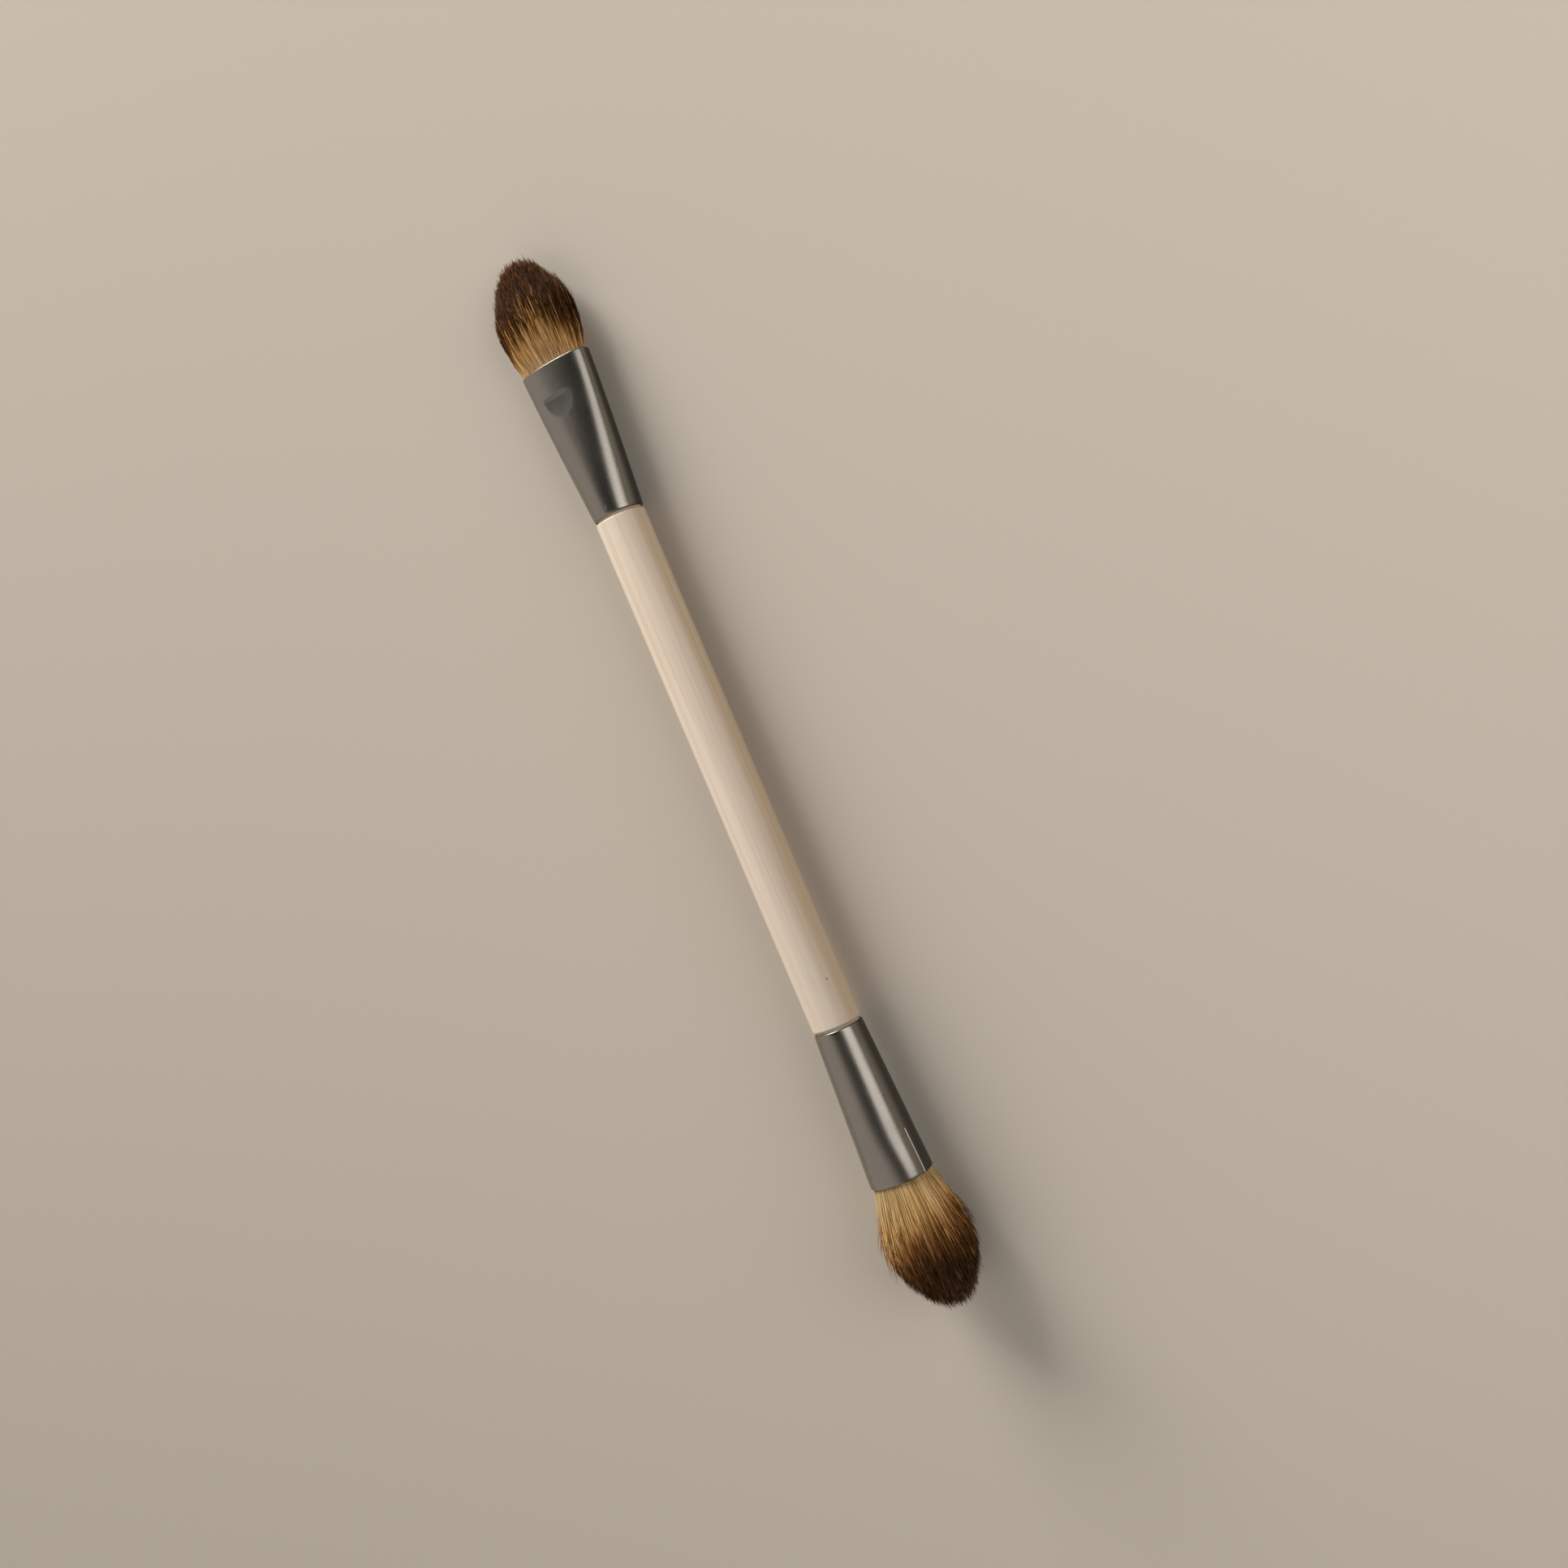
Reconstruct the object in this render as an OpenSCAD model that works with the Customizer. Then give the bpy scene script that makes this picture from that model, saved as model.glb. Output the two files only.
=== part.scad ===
// Double ended makeup brush: a flat tuft at one end of a plain turned handle and a round tuft at the other.
// Each tuft is bound in resin inside a thin metal ferrule that is glued over a tenon of the handle.
// The brush lies along X with the flat tuft towards +X, and rests on the undersides of its two tufts.

/* [Handle] */
// Length of bare wood between its two shoulders
handle_l = 92.7; // [60:0.1:140]
// Diameter of the wood beside the flat ferrule
handle_flat_d = 8.72; // [7.4:0.01:10]
// Diameter of the wood beside the round ferrule
handle_round_d = 8.62; // [7.4:0.01:10]
// Rounding of the wood's edge at each shoulder
shoulder_r = 0.35; // [0.1:0.05:0.6]
// Chamfer at the end of each tenon
tenon_chamfer = 0.6; // [0.2:0.1:1.5]

/* [Ferrules] */
// Length of the flat ferrule
flat_ferrule_l = 27.4; // [21:0.1:40]
// Length of the round ferrule
round_ferrule_l = 27.4; // [21:0.1:40]
// Thickness of the metal
ferrule_wall = 0.35; // [0.2:0.05:0.5]
// How far the metal stands above the wood beside it
ferrule_step = 0.04; // [0:0.01:0.2]
// How far the end of each ferrule is rolled in towards the tenon
rim_roll = 0.08; // [0.02:0.01:0.2]
// Length of the rolled end
rim_roll_l = 0.6; // [0.3:0.1:1]
// Open joint between the end of each ferrule and the shoulder of the wood
joint_gap = 0.4; // [0.1:0.05:0.8]
// Width of the flat ferrule at its mouth
flat_mouth_w = 13.2; // [10.5:0.1:15]
// Thickness of the flat ferrule at its mouth
flat_mouth_t = 6.2; // [5:0.1:7.2]
// Squareness of the pressed flat mouth, where 2 is a plain ellipse
flat_mouth_square = 2.5; // [2:0.1:3]
// Width of the round ferrule at its mouth
round_mouth_w = 11; // [10:0.1:12.5]
// Thickness of the round ferrule at its mouth
round_mouth_t = 10.3; // [9.4:0.1:12]
// Squareness of the pressed round mouth, where 2 is a plain ellipse
round_mouth_square = 2.3; // [2:0.1:3]
// Diameter of the round ferrule where its cone meets the pressed collar
round_collar_d = 10.5; // [9.5:0.1:11.5]
// Length of the pressed collar of the round ferrule
round_collar_l = 8.6; // [7:0.1:12]

/* [Half-moon dimple of the flat ferrule] */
// Width of the dimple across the broad face
dimple_w = 5.8; // [3:0.1:8]
// Length of the dimple along the brush
dimple_l = 3.4; // [2:0.1:4.5]
// Distance from the mouth to the straight edge of the dimple
dimple_back = 5; // [3:0.1:8]
// Depth of the dimple at the middle of its straight edge
dimple_depth = 0.28; // [0.1:0.02:0.4]

/* [Tufts] */
// Length of the flat tuft outside its ferrule
flat_hair_l = 18.6; // [15:0.1:28]
// Greatest width of the flat tuft
flat_hair_w = 15.3; // [14:0.1:19]
// Greatest thickness of the flat tuft
flat_hair_t = 8; // [6.5:0.1:10]
// Distance from the mouth to the widest place of the flat tuft
flat_hair_belly = 7.5; // [5:0.1:10]
// Length of the round tuft outside its ferrule
round_hair_l = 23.1; // [18:0.1:32]
// Greatest width of the round tuft
round_hair_w = 16.1; // [13:0.1:20]
// Greatest thickness of the round tuft
round_hair_t = 15; // [13:0.1:18]
// Distance from the mouth to the widest place of the round tuft
round_hair_belly = 12; // [9:0.1:14]
// How far the tip of the round tuft is swept to one side
round_hair_sweep = 0.8; // [0:0.1:2]
// Depth of the furrows between locks of hair
furrow = 0.32; // [0.1:0.02:0.5]
// Unevenness of the ends of the locks
ragged = 0.5; // [0.1:0.1:1]
// Length of the hair roots inside each ferrule
root_l = 8.6; // [6:0.1:9]
// Length of the resin plug behind the roots
resin_l = 5; // [3:0.1:5.5]
// Free space between each resin plug and the end of the tenon
tenon_gap = 1.8; // [0.2:0.1:3]
// Clearance between each ferrule and what it holds
fit_gap = 0.05; // [0.03:0.01:0.1]

/* [Hidden] */

// Points around each pressed section, and rings along the bare stretch of each tuft
around = 48;
tuft_rings = 18;

// Places along the brush, measured from the middle of its whole length
flat_end_l = flat_ferrule_l + flat_hair_l;
round_end_l = round_ferrule_l + round_hair_l;
span = handle_l + 2 * joint_gap + flat_end_l + round_end_l;
flat_joint_x = span / 2 - flat_end_l;
round_joint_x = span / 2 - round_end_l;

// Length of each tenon, which fills its ferrule up to the free space behind the resin
flat_tenon_l = flat_ferrule_l - root_l - resin_l - tenon_gap;
round_tenon_l = round_ferrule_l - root_l - resin_l - tenon_gap;

// Radius of each ferrule just past its rolled end
flat_end_r = handle_flat_d / 2 + ferrule_step;
round_end_r = handle_round_d / 2 + ferrule_step;

// Places where the tufts touch the table, the steepest lean that clears the ferrule, and the axis height
flat_touch_x = flat_joint_x + flat_ferrule_l + flat_hair_belly;
round_touch_x = -(round_joint_x + round_ferrule_l + round_hair_belly);
supports = [[flat_touch_x, flat_hair_t / 2], [flat_joint_x, flat_end_r]];
lean = atan(min([for (s = supports) (round_hair_t / 2 - s[1]) / (s[0] - round_touch_x)]));
axis_h = (round_hair_t / 2 + round_touch_x * tan(lean)) * cos(lean);

// Uneven lengths and furrows of the locks, one value for each point around
lock_end = rands(-1, 1, around, 11);
lock_depth = rands(0.4, 1, around, 29);

// Smooth step from 0 to 1
function ease(t) = let (c = min(max(t, 0), 1)) c * c * (3 - 2 * c);

// Value a share t of the way from a to b
function mix(a, b, t) = a + (b - a) * t;

// Even places from one value up to, but not with, the next
function steps(from, to, count) = [for (i = [0:count - 1]) mix(from, to, i / count)];

// Point at angle t of a rounded oval with half width a, half thickness b and squareness n
function oval(a, b, n, t) =
    let (s = pow(pow(abs(cos(t)), n) + pow(abs(sin(t)), n), -1 / n))
    [s * a * cos(t), s * b * sin(t)];

// Loss of radius towards the rolled end of a ferrule
function roll(u) = rim_roll * pow(1 - min(u / rim_roll_l, 1), 2);

// Half width, half thickness and squareness of the flat ferrule, a distance u from its handle end
function flat_section(u) =
    let (t = u / flat_ferrule_l, widen = 1 - pow(1 - t, 1.2), press = ease(t))
    [mix(flat_end_r, flat_mouth_w / 2, widen) - roll(u),
     mix(flat_end_r, flat_mouth_t / 2, press) - roll(u),
     mix(2, flat_mouth_square, press)];

// The same for the round ferrule, a cone that ends in a lightly pressed collar
function round_section(u) =
    let (cone_l = round_ferrule_l - round_collar_l,
         collar_r = round_collar_d / 2,
         press = ease((u - cone_l) / (round_collar_l / 3)),
         flare = max(u - cone_l, 0) / round_collar_l,
         cone_r = mix(round_end_r, collar_r, min(u / cone_l, 1)) - roll(u),
         grow = (round_mouth_w + round_mouth_t) / 4 - collar_r,
         oval_by = (round_mouth_w - round_mouth_t) / 4)
    [cone_r + grow * flare + oval_by * press,
     cone_r + grow * flare - oval_by * press,
     mix(2, round_mouth_square, press)];

// Depth of the half-moon dimple at a distance u along the flat ferrule and y across it
function dimple(u, y) =
    let (s = (flat_ferrule_l - dimple_back - u) / dimple_l, k = 1 - s * s - pow(2 * y / dimple_w, 2))
    s < 0 || k <= 0 ? 0 : dimple_depth * sqrt(k);

// Points of one ring inside the skin of a ferrule, where inset is the depth below its outside
function flat_ring(u, inset) =
    let (s = flat_section(u))
    [for (i = [0:around - 1])
        let (angle = 360 * i / around,
             skin_y = oval(s[0], s[1], s[2], angle)[0],
             p = oval(s[0] - inset, s[1] - inset, s[2], angle))
        [flat_joint_x + u, p[0], p[1] - (angle > 0 && angle < 180 ? dimple(u, skin_y) : 0)]];

function round_ring(u, inset) =
    let (s = round_section(u))
    [for (i = [0:around - 1])
        let (p = oval(s[0] - inset, s[1] - inset, s[2], 360 * i / around))
        [round_joint_x + u, p[0], p[1]]];

// Places of the rings along each ferrule, close together where the form turns
flat_dimple_u = flat_ferrule_l - dimple_back;
flat_root_u = flat_ferrule_l - root_l;
round_root_u = round_ferrule_l - root_l;
round_press_u = round_ferrule_l - round_collar_l;
edge_step = 0.15;
flat_rings_u = concat(
    steps(0, rim_roll_l, 2),
    steps(rim_roll_l, flat_root_u, 6),
    steps(flat_root_u, flat_dimple_u, 6),
    [flat_dimple_u, flat_dimple_u + edge_step],
    steps(flat_dimple_u + edge_step * 2, flat_ferrule_l, 2),
    [flat_ferrule_l]);
round_rings_u = concat(
    steps(0, rim_roll_l, 2),
    steps(rim_roll_l, round_press_u, 4),
    steps(round_press_u, round_press_u + round_collar_l / 3, 3),
    steps(round_press_u + round_collar_l / 3, round_ferrule_l, 2),
    [round_ferrule_l]);

// Triangles between neighbouring rings, split along the other diagonal where the rings run back, so that
// a wall's inside lies parallel to what it holds
function skin(from, to, back = false) = [for (j = [from:to - 1]) for (i = [0:around - 1])
    let (k = (i + 1) % around, low = j * around, high = low + around)
    each back
        ? [[low + i, high + i, low + k], [high + i, high + k, low + k]]
        : [[low + i, high + i, high + k], [low + i, high + k, low + k]]];

// A closed wall whose rings run out along its outside and back along its inside
module tube_of(outside, inside) {
    half = len(outside);
    rings = concat(outside, inside);
    last = (len(rings) - 1) * around;
    closing = [for (i = [0:around - 1])
        let (k = (i + 1) % around)
        each [[last + i, i, k], [last + i, k, last + k]]];
    faces = concat(skin(0, half), skin(half, len(rings) - 1, true), closing);
    polyhedron([for (ring = rings) each ring], faces, convexity = 6);
}

// A solid through rings, closed by a fan of triangles at each end
module solid_of(rings, start, end) {
    count = len(rings);
    first_hub = count * around;
    last_hub = first_hub + 1;
    last = (count - 1) * around;
    first_fan = [for (i = [0:around - 1]) [first_hub, i, (i + 1) % around]];
    last_fan = [for (i = [0:around - 1]) [last_hub, last + (i + 1) % around, last + i]];
    points = concat([for (ring = rings) each ring], [start, end]);
    polyhedron(points, concat(skin(0, count - 1), first_fan, last_fan), convexity = 6);
}

// Rings of the bare stretch of a tuft, from its mouth section to its tip
function tuft_ring(v, mouth_x, root, full, hair_l, belly, edge, sweep) =
    let (t = v / belly,
         spread = 1 - pow(1 - min(t, 1), 1.45),
         far = max(v - belly, 0) / (hair_l - belly),
         dome = pow(1 - far * far, 0.6),
         chisel = pow(1 - far * far, edge),
         grown = v / hair_l)
    [for (i = [0:around - 1])
        let (a = mix(root[0], full[0], spread) * dome,
             b = mix(root[1], full[1], spread) * chisel,
             p = oval(a, b, mix(root[2], 2, min(t, 1)), 360 * i / around),
             cut = furrow * lock_depth[i] * (i % 2) * ease(3 * grown) / (furrow + (a + b) / 2),
             reach = ragged * lock_end[i] * pow(grown, 3) * (1 - dome / 2))
        [mouth_x + v + min(reach, hair_l - v), p[0] * (1 - cut) + sweep * pow(grown, 4), p[1] * (1 - cut)]];

// Moves a shape from the brush's own axis to where the brush lies on the table
module lying() {
    translate([0, 0, axis_h])
        rotate([0, lean, 0])
            children();
}

// Turns a shape that points towards +X round to the other end of the brush
module other_end() {
    rotate([0, 0, 180])
        children();
}

// Outline of a shoulder and tenon, from the widest wood outwards to the axis, where thin is the ferrule's
// half thickness at the tenon's end, to which the tenon tapers
function tenon_outline(wood_r, end_r, thin, joint_x, tenon_l) =
    let (shoulder_x = joint_x - joint_gap,
         tenon_r = end_r - rim_roll - ferrule_wall - fit_gap,
         tip_r = min(tenon_r, thin - ferrule_wall - fit_gap),
         end_x = joint_x + tenon_l)
    concat(
        [for (a = [0:30:90])
            [wood_r - shoulder_r * (1 - cos(a)), shoulder_x - shoulder_r * (1 - sin(a))]],
        [[tenon_r, shoulder_x],
         [tenon_r, joint_x],
         [tip_r, end_x - tenon_chamfer],
         [tip_r - tenon_chamfer, end_x],
         [0, end_x]]);

module handle() {
    flat_thin = flat_section(flat_tenon_l)[1];
    round_thin = round_section(round_tenon_l)[1];
    flat_side = tenon_outline(handle_flat_d / 2, flat_end_r, flat_thin, flat_joint_x, flat_tenon_l);
    round_side = tenon_outline(handle_round_d / 2, round_end_r, round_thin, round_joint_x, round_tenon_l);
    count = len(round_side);
    mirrored = [for (i = [count - 1:-1:0]) [round_side[i][0], -round_side[i][1]]];
    lying()
        color([0.86, 0.77, 0.65])
            rotate([0, 90, 0])
                rotate_extrude($fn = 96)
                    polygon(concat(mirrored, flat_side));
}

module flat_ferrule() {
    outside = [for (u = flat_rings_u) flat_ring(u, 0)];
    inside = [for (i = [len(flat_rings_u) - 1:-1:0]) flat_ring(flat_rings_u[i], ferrule_wall)];
    lying()
        color([0.42, 0.4, 0.37])
            tube_of(outside, inside);
}

module round_ferrule() {
    outside = [for (u = round_rings_u) round_ring(u, 0)];
    inside = [for (i = [len(round_rings_u) - 1:-1:0]) round_ring(round_rings_u[i], ferrule_wall)];
    lying()
        other_end()
            color([0.42, 0.4, 0.37])
                tube_of(outside, inside);
}

module flat_hair() {
    inset = ferrule_wall + fit_gap;
    mouth_x = flat_joint_x + flat_ferrule_l;
    s = flat_section(flat_ferrule_l);
    root = [s[0] - inset, s[1] - inset, s[2]];
    full = [flat_hair_w / 2, flat_hair_t / 2];
    roots = [for (u = flat_rings_u) if (u >= flat_root_u && u < flat_ferrule_l) flat_ring(u, inset)];
    bare = [for (j = [0:tuft_rings - 1])
        let (v = flat_hair_l * sin(90 * j / tuft_rings))
        tuft_ring(v, mouth_x, root, full, flat_hair_l, flat_hair_belly, 0.8, 0)];
    start = [flat_joint_x + flat_root_u, 0, 0];
    lying()
        color([0.36, 0.24, 0.15])
            solid_of(concat(roots, bare), start, [span / 2, 0, 0]);
}

module round_hair() {
    inset = ferrule_wall + fit_gap;
    mouth_x = round_joint_x + round_ferrule_l;
    s = round_section(round_ferrule_l);
    root = [s[0] - inset, s[1] - inset, s[2]];
    full = [round_hair_w / 2, round_hair_t / 2];
    roots = [for (u = concat([round_root_u], round_rings_u))
        if (u >= round_root_u && u < round_ferrule_l) round_ring(u, inset)];
    bare = [for (j = [0:tuft_rings - 1])
        let (v = round_hair_l * sin(90 * j / tuft_rings))
        tuft_ring(v, mouth_x, root, full, round_hair_l, round_hair_belly, 0.6, round_hair_sweep)];
    start = [round_joint_x + round_root_u, 0, 0];
    lying()
        other_end()
            color([0.62, 0.45, 0.24])
                solid_of(concat(roots, bare), start, [span / 2, round_hair_sweep, 0]);
}

module flat_resin_plug() {
    inset = ferrule_wall + fit_gap;
    from_u = flat_root_u - resin_l;
    rings = [for (u = concat([from_u], flat_rings_u)) if (u >= from_u && u <= flat_root_u) flat_ring(u, inset)];
    lying()
        color([0.72, 0.62, 0.42])
            solid_of(rings, [flat_joint_x + from_u, 0, 0], [flat_joint_x + flat_root_u, 0, 0]);
}

module round_resin_plug() {
    inset = ferrule_wall + fit_gap;
    from_u = round_root_u - resin_l;
    inner_u = [for (u = round_rings_u) if (u > from_u && u < round_root_u) u];
    rings = [for (u = concat([from_u], inner_u, [round_root_u])) round_ring(u, inset)];
    lying()
        other_end()
            color([0.72, 0.62, 0.42])
                solid_of(rings, [round_joint_x + from_u, 0, 0], [round_joint_x + round_root_u, 0, 0]);
}

handle();
flat_ferrule();
round_ferrule();
flat_hair();
round_hair();
flat_resin_plug();
round_resin_plug();
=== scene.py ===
"""Dresses the double ended makeup brush: turned wood, satin metal ferrules and two tufts of single hairs.

Sizes are in millimetres and turned to metres where a piece is laid in the frame. Each end of the brush
is modelled along +X, with its width along Y and its thickness along Z. A place along it is u from the
ferrule's handle end, or v from its mouth.
"""

from __future__ import annotations

import logging
import math
from collections.abc import Callable, Sequence
from dataclasses import dataclass
from enum import Enum

import bmesh
import bpy
import numpy as np
from mathutils import Matrix, Vector


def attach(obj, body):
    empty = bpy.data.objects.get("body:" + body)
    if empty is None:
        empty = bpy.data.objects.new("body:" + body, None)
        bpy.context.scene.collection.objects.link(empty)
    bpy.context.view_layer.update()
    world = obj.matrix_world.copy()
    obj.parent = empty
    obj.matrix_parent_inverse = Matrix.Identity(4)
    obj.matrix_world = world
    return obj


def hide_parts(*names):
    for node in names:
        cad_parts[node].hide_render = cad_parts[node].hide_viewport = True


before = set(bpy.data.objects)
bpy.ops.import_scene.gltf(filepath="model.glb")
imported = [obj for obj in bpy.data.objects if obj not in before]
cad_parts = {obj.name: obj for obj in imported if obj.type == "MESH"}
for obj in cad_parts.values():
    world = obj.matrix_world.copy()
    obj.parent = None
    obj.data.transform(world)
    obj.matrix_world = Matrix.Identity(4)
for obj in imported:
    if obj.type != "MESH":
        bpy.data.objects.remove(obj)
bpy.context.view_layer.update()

LOG = logging.getLogger("makeup_brush")
MM = 0.001
FULL_TURN = 2 * math.pi

Array = np.ndarray
Random = np.random.Generator
Mesh = bpy.types.Mesh
Shape = bmesh.types.BMesh
Piece = bpy.types.Object
Surface = bpy.types.Material
Colour = tuple[float, float, float, float]
Pair = tuple[float, float]
Section = tuple[float, float, float]
Line = tuple[Vector, Vector, float]
Hairs = dict[str, Array]


class Slot(Enum):
    """Names of the material slots, one for each kind of new piece."""

    WOOD = "handle_wood"
    METAL = "ferrule_metal"
    BROWN_HAIR = "brown_hair"
    GOLDEN_HAIR = "golden_hair"


class Facing(Enum):
    """Which way an end of the brush points along the brush's own axis."""

    FORWARD = 0.0
    BACKWARD = math.pi


def ease(t: float | Array) -> float | Array:
    """Smooth step from 0 to 1."""
    held = np.clip(t, 0, 1)
    return held * held * (3 - 2 * held)


def mix(a: float, b: float, t: float | Array) -> float | Array:
    """Value a share t of the way from a to b."""
    return a + (b - a) * t


def steps(start: float, end: float, count: int) -> list[float]:
    """Even places from start up to, but not with, end."""
    return [float(mix(start, end, i / count)) for i in range(count)]


def runs(marks: Sequence[float], counts: Sequence[int]) -> list[float]:
    """Places from the first mark to the last, with a count of even steps between each two."""
    spans = zip(marks, marks[1:], counts)
    return [*(place for start, end, count in spans for place in steps(start, end, count)), marks[-1]]


def oval(
    a: float | Array,
    b: float | Array,
    squareness: float | Array,
    turn: float | Array,
) -> tuple[Array, Array]:
    """Point of a rounded oval.

    Args:
        a: Half width.
        b: Half thickness.
        squareness: 2 for a plain ellipse, more for squarer sides.
        turn: Angle round the oval, in radians.

    Returns:
        The point's places across the width and the thickness.
    """
    c, s = np.cos(turn), np.sin(turn)
    grow = (np.abs(c) ** squareness + np.abs(s) ** squareness) ** (-1 / squareness)
    return grow * a * c, grow * b * s


def colour(red: int, green: int, blue: int) -> Colour:
    """Linear colour of a screen colour.

    Args:
        red: Red, from 0 to 255.
        green: Green.
        blue: Blue.

    Returns:
        The colour, with full alpha.
    """
    screen = np.array([red, green, blue]) / 255
    linear = np.where(screen <= 0.04045, screen / 12.92, ((screen + 0.055) / 1.055) ** 2.4)
    return (*(float(v) for v in linear), 1.0)


@dataclass(frozen=True)
class Wire:
    """An output socket that takes part in arithmetic by adding Math nodes."""

    graph: Graph
    socket: bpy.types.NodeSocket

    def __add__(self, other: Wire | float) -> Wire:
        """The sum with another value."""
        return self.graph.maths("ADD", self, other)

    def __sub__(self, other: Wire | float) -> Wire:
        """The difference from another value."""
        return self.graph.maths("SUBTRACT", self, other)

    def __mul__(self, other: Wire | float) -> Wire:
        """The product with another value."""
        return self.graph.maths("MULTIPLY", self, other)

    def __radd__(self, other: float) -> Wire:
        """The sum where the number comes first."""
        return self.graph.maths("ADD", other, self)

    def __rsub__(self, other: float) -> Wire:
        """The difference where the number comes first."""
        return self.graph.maths("SUBTRACT", other, self)

    def __rmul__(self, other: float) -> Wire:
        """The product where the number comes first."""
        return self.graph.maths("MULTIPLY", other, self)


@dataclass(frozen=True)
class Grain:
    """A fine noise: its changes along each axis, its detail and the span of values over which it shows."""

    often: tuple[float, float, float]
    detail: float = 2.0
    roughness: float = 0.5
    shows: Pair = (0.0, 1.0)


class Graph:
    """Adds nodes to one node tree."""

    def __init__(self, tree: bpy.types.NodeTree) -> None:
        """Empties the tree, ready for new nodes."""
        self.tree = tree
        tree.nodes.clear()

    def node(
        self,
        kind: str,
        settings: dict[str, object] | None = None,
        sockets: dict[str | int, object] | None = None,
    ) -> bpy.types.Node:
        """Adds one node.

        Args:
            kind: The node's type.
            settings: Its properties; "stops" holds a ramp's places and colours.
            sockets: Values or wires of its inputs, by name or number.

        Returns:
            The new node.
        """
        made = self.tree.nodes.new(kind)
        for name, value in (settings or {}).items():
            if name == "stops":
                self._set_stops(made.color_ramp, value)
            else:
                setattr(made, name, value)
        for name, value in (sockets or {}).items():
            if isinstance(value, Wire):
                self.tree.links.new(value.socket, made.inputs[name])
            else:
                made.inputs[name].default_value = value
        return made

    def wire(
        self,
        kind: str,
        settings: dict[str, object] | None = None,
        sockets: dict[str | int, object] | None = None,
        output: str | int = 0,
    ) -> Wire:
        """Adds one node as node() does and returns one of its outputs, by name or number."""
        return Wire(self, self.node(kind, settings, sockets).outputs[output])

    def place(self) -> Wire:
        """Place on the object, in metres."""
        return self.wire("ShaderNodeTexCoord", output="Object")

    def attribute(self, name: str) -> Wire:
        """Value that the mesh keeps for each point."""
        return self.wire("ShaderNodeAttribute", {"attribute_name": name}, output="Fac")

    def maths(self, operation: str, *operands: Wire | float) -> Wire:
        """One Math node of an operation on its operands."""
        return self.wire("ShaderNodeMath", {"operation": operation}, dict(enumerate(operands)))

    def vector(
        self,
        operation: str,
        first: Wire | Sequence[float],
        second: Wire | Sequence[float],
        output: str = "Vector",
    ) -> Wire:
        """One Vector Math node of an operation on two vectors."""
        return self.wire("ShaderNodeVectorMath", {"operation": operation}, {0: first, 1: second}, output)

    def ramp(self, factor: Wire, stops: Sequence[tuple[float, Colour]]) -> Wire:
        """A colour ramp over a factor."""
        return self.wire("ShaderNodeValToRGB", {"stops": stops}, {"Fac": factor})

    def band(self, value: Wire, start: float, end: float) -> Wire:
        """A smooth rise from 0 at start to 1 at end, which may lie below start."""
        sockets = {"Value": value, "From Min": start, "From Max": end}
        return self.wire("ShaderNodeMapRange", {"interpolation_type": "SMOOTHSTEP"}, sockets, "Result")

    def blend(self, factor: Wire, base: Wire | Colour, top: Wire | Colour, how: str = "MIX") -> Wire:
        """Lays a share of a top colour over a base colour, with a blend type."""
        settings = {"data_type": "RGBA", "blend_type": how}
        return self.wire("ShaderNodeMix", settings, {0: factor, 6: base, 7: top}, 2)

    def noise(self, place: Wire, grain: Grain) -> Wire:
        """Smooth noise from 0 to 1 at a place.

        Args:
            place: The place, in the grain's own unit.
            grain: How fine the noise is.

        Returns:
            The noise.
        """
        where = self.vector("MULTIPLY", place, grain.often)
        sockets = {"Vector": where, "Scale": 1.0, "Detail": grain.detail, "Roughness": grain.roughness}
        return self.wire("ShaderNodeTexNoise", None, sockets, "Fac")

    def bump(self, height: Wire, strength: float, distance: float) -> Wire:
        """A normal tilted by a height field, whose distance is in metres."""
        sockets = {"Height": height, "Strength": strength, "Distance": distance}
        return self.wire("ShaderNodeBump", None, sockets, "Normal")

    @staticmethod
    def _set_stops(ramp: bpy.types.ColorRamp, stops: Sequence[tuple[float, Colour]]) -> None:
        """Gives a ramp its stops.

        Args:
            ramp: The ramp.
            stops: The place and the colour of each stop.
        """
        while len(ramp.elements) < len(stops):
            ramp.elements.new(1.0)
        for element, (place, shade) in zip(ramp.elements, stops):
            element.position = place
            element.color = shade


def new_surface(name: str, **sockets: object) -> tuple[Surface, Graph, bpy.types.Node]:
    """Starts a material.

    Args:
        name: The material's name.
        sockets: Constants of the Principled BSDF, with underscores for spaces.

    Returns:
        The material, its graph and its Principled BSDF.
    """
    made = bpy.data.materials.new(name)
    made.use_nodes = True
    graph = Graph(made.node_tree)
    constants = {key.replace("_", " "): value for key, value in sockets.items()}
    shader = graph.node("ShaderNodeBsdfPrincipled", None, constants)
    graph.node("ShaderNodeOutputMaterial", None, {"Surface": Wire(graph, shader.outputs[0])})
    return made, graph, shader


def feed(graph: Graph, shader: bpy.types.Node, **wires: Wire) -> None:
    """Links wires to a shader's sockets, whose names have underscores for spaces."""
    for name, wire in wires.items():
        graph.tree.links.new(wire.socket, shader.inputs[name.replace("_", " ")])


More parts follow.
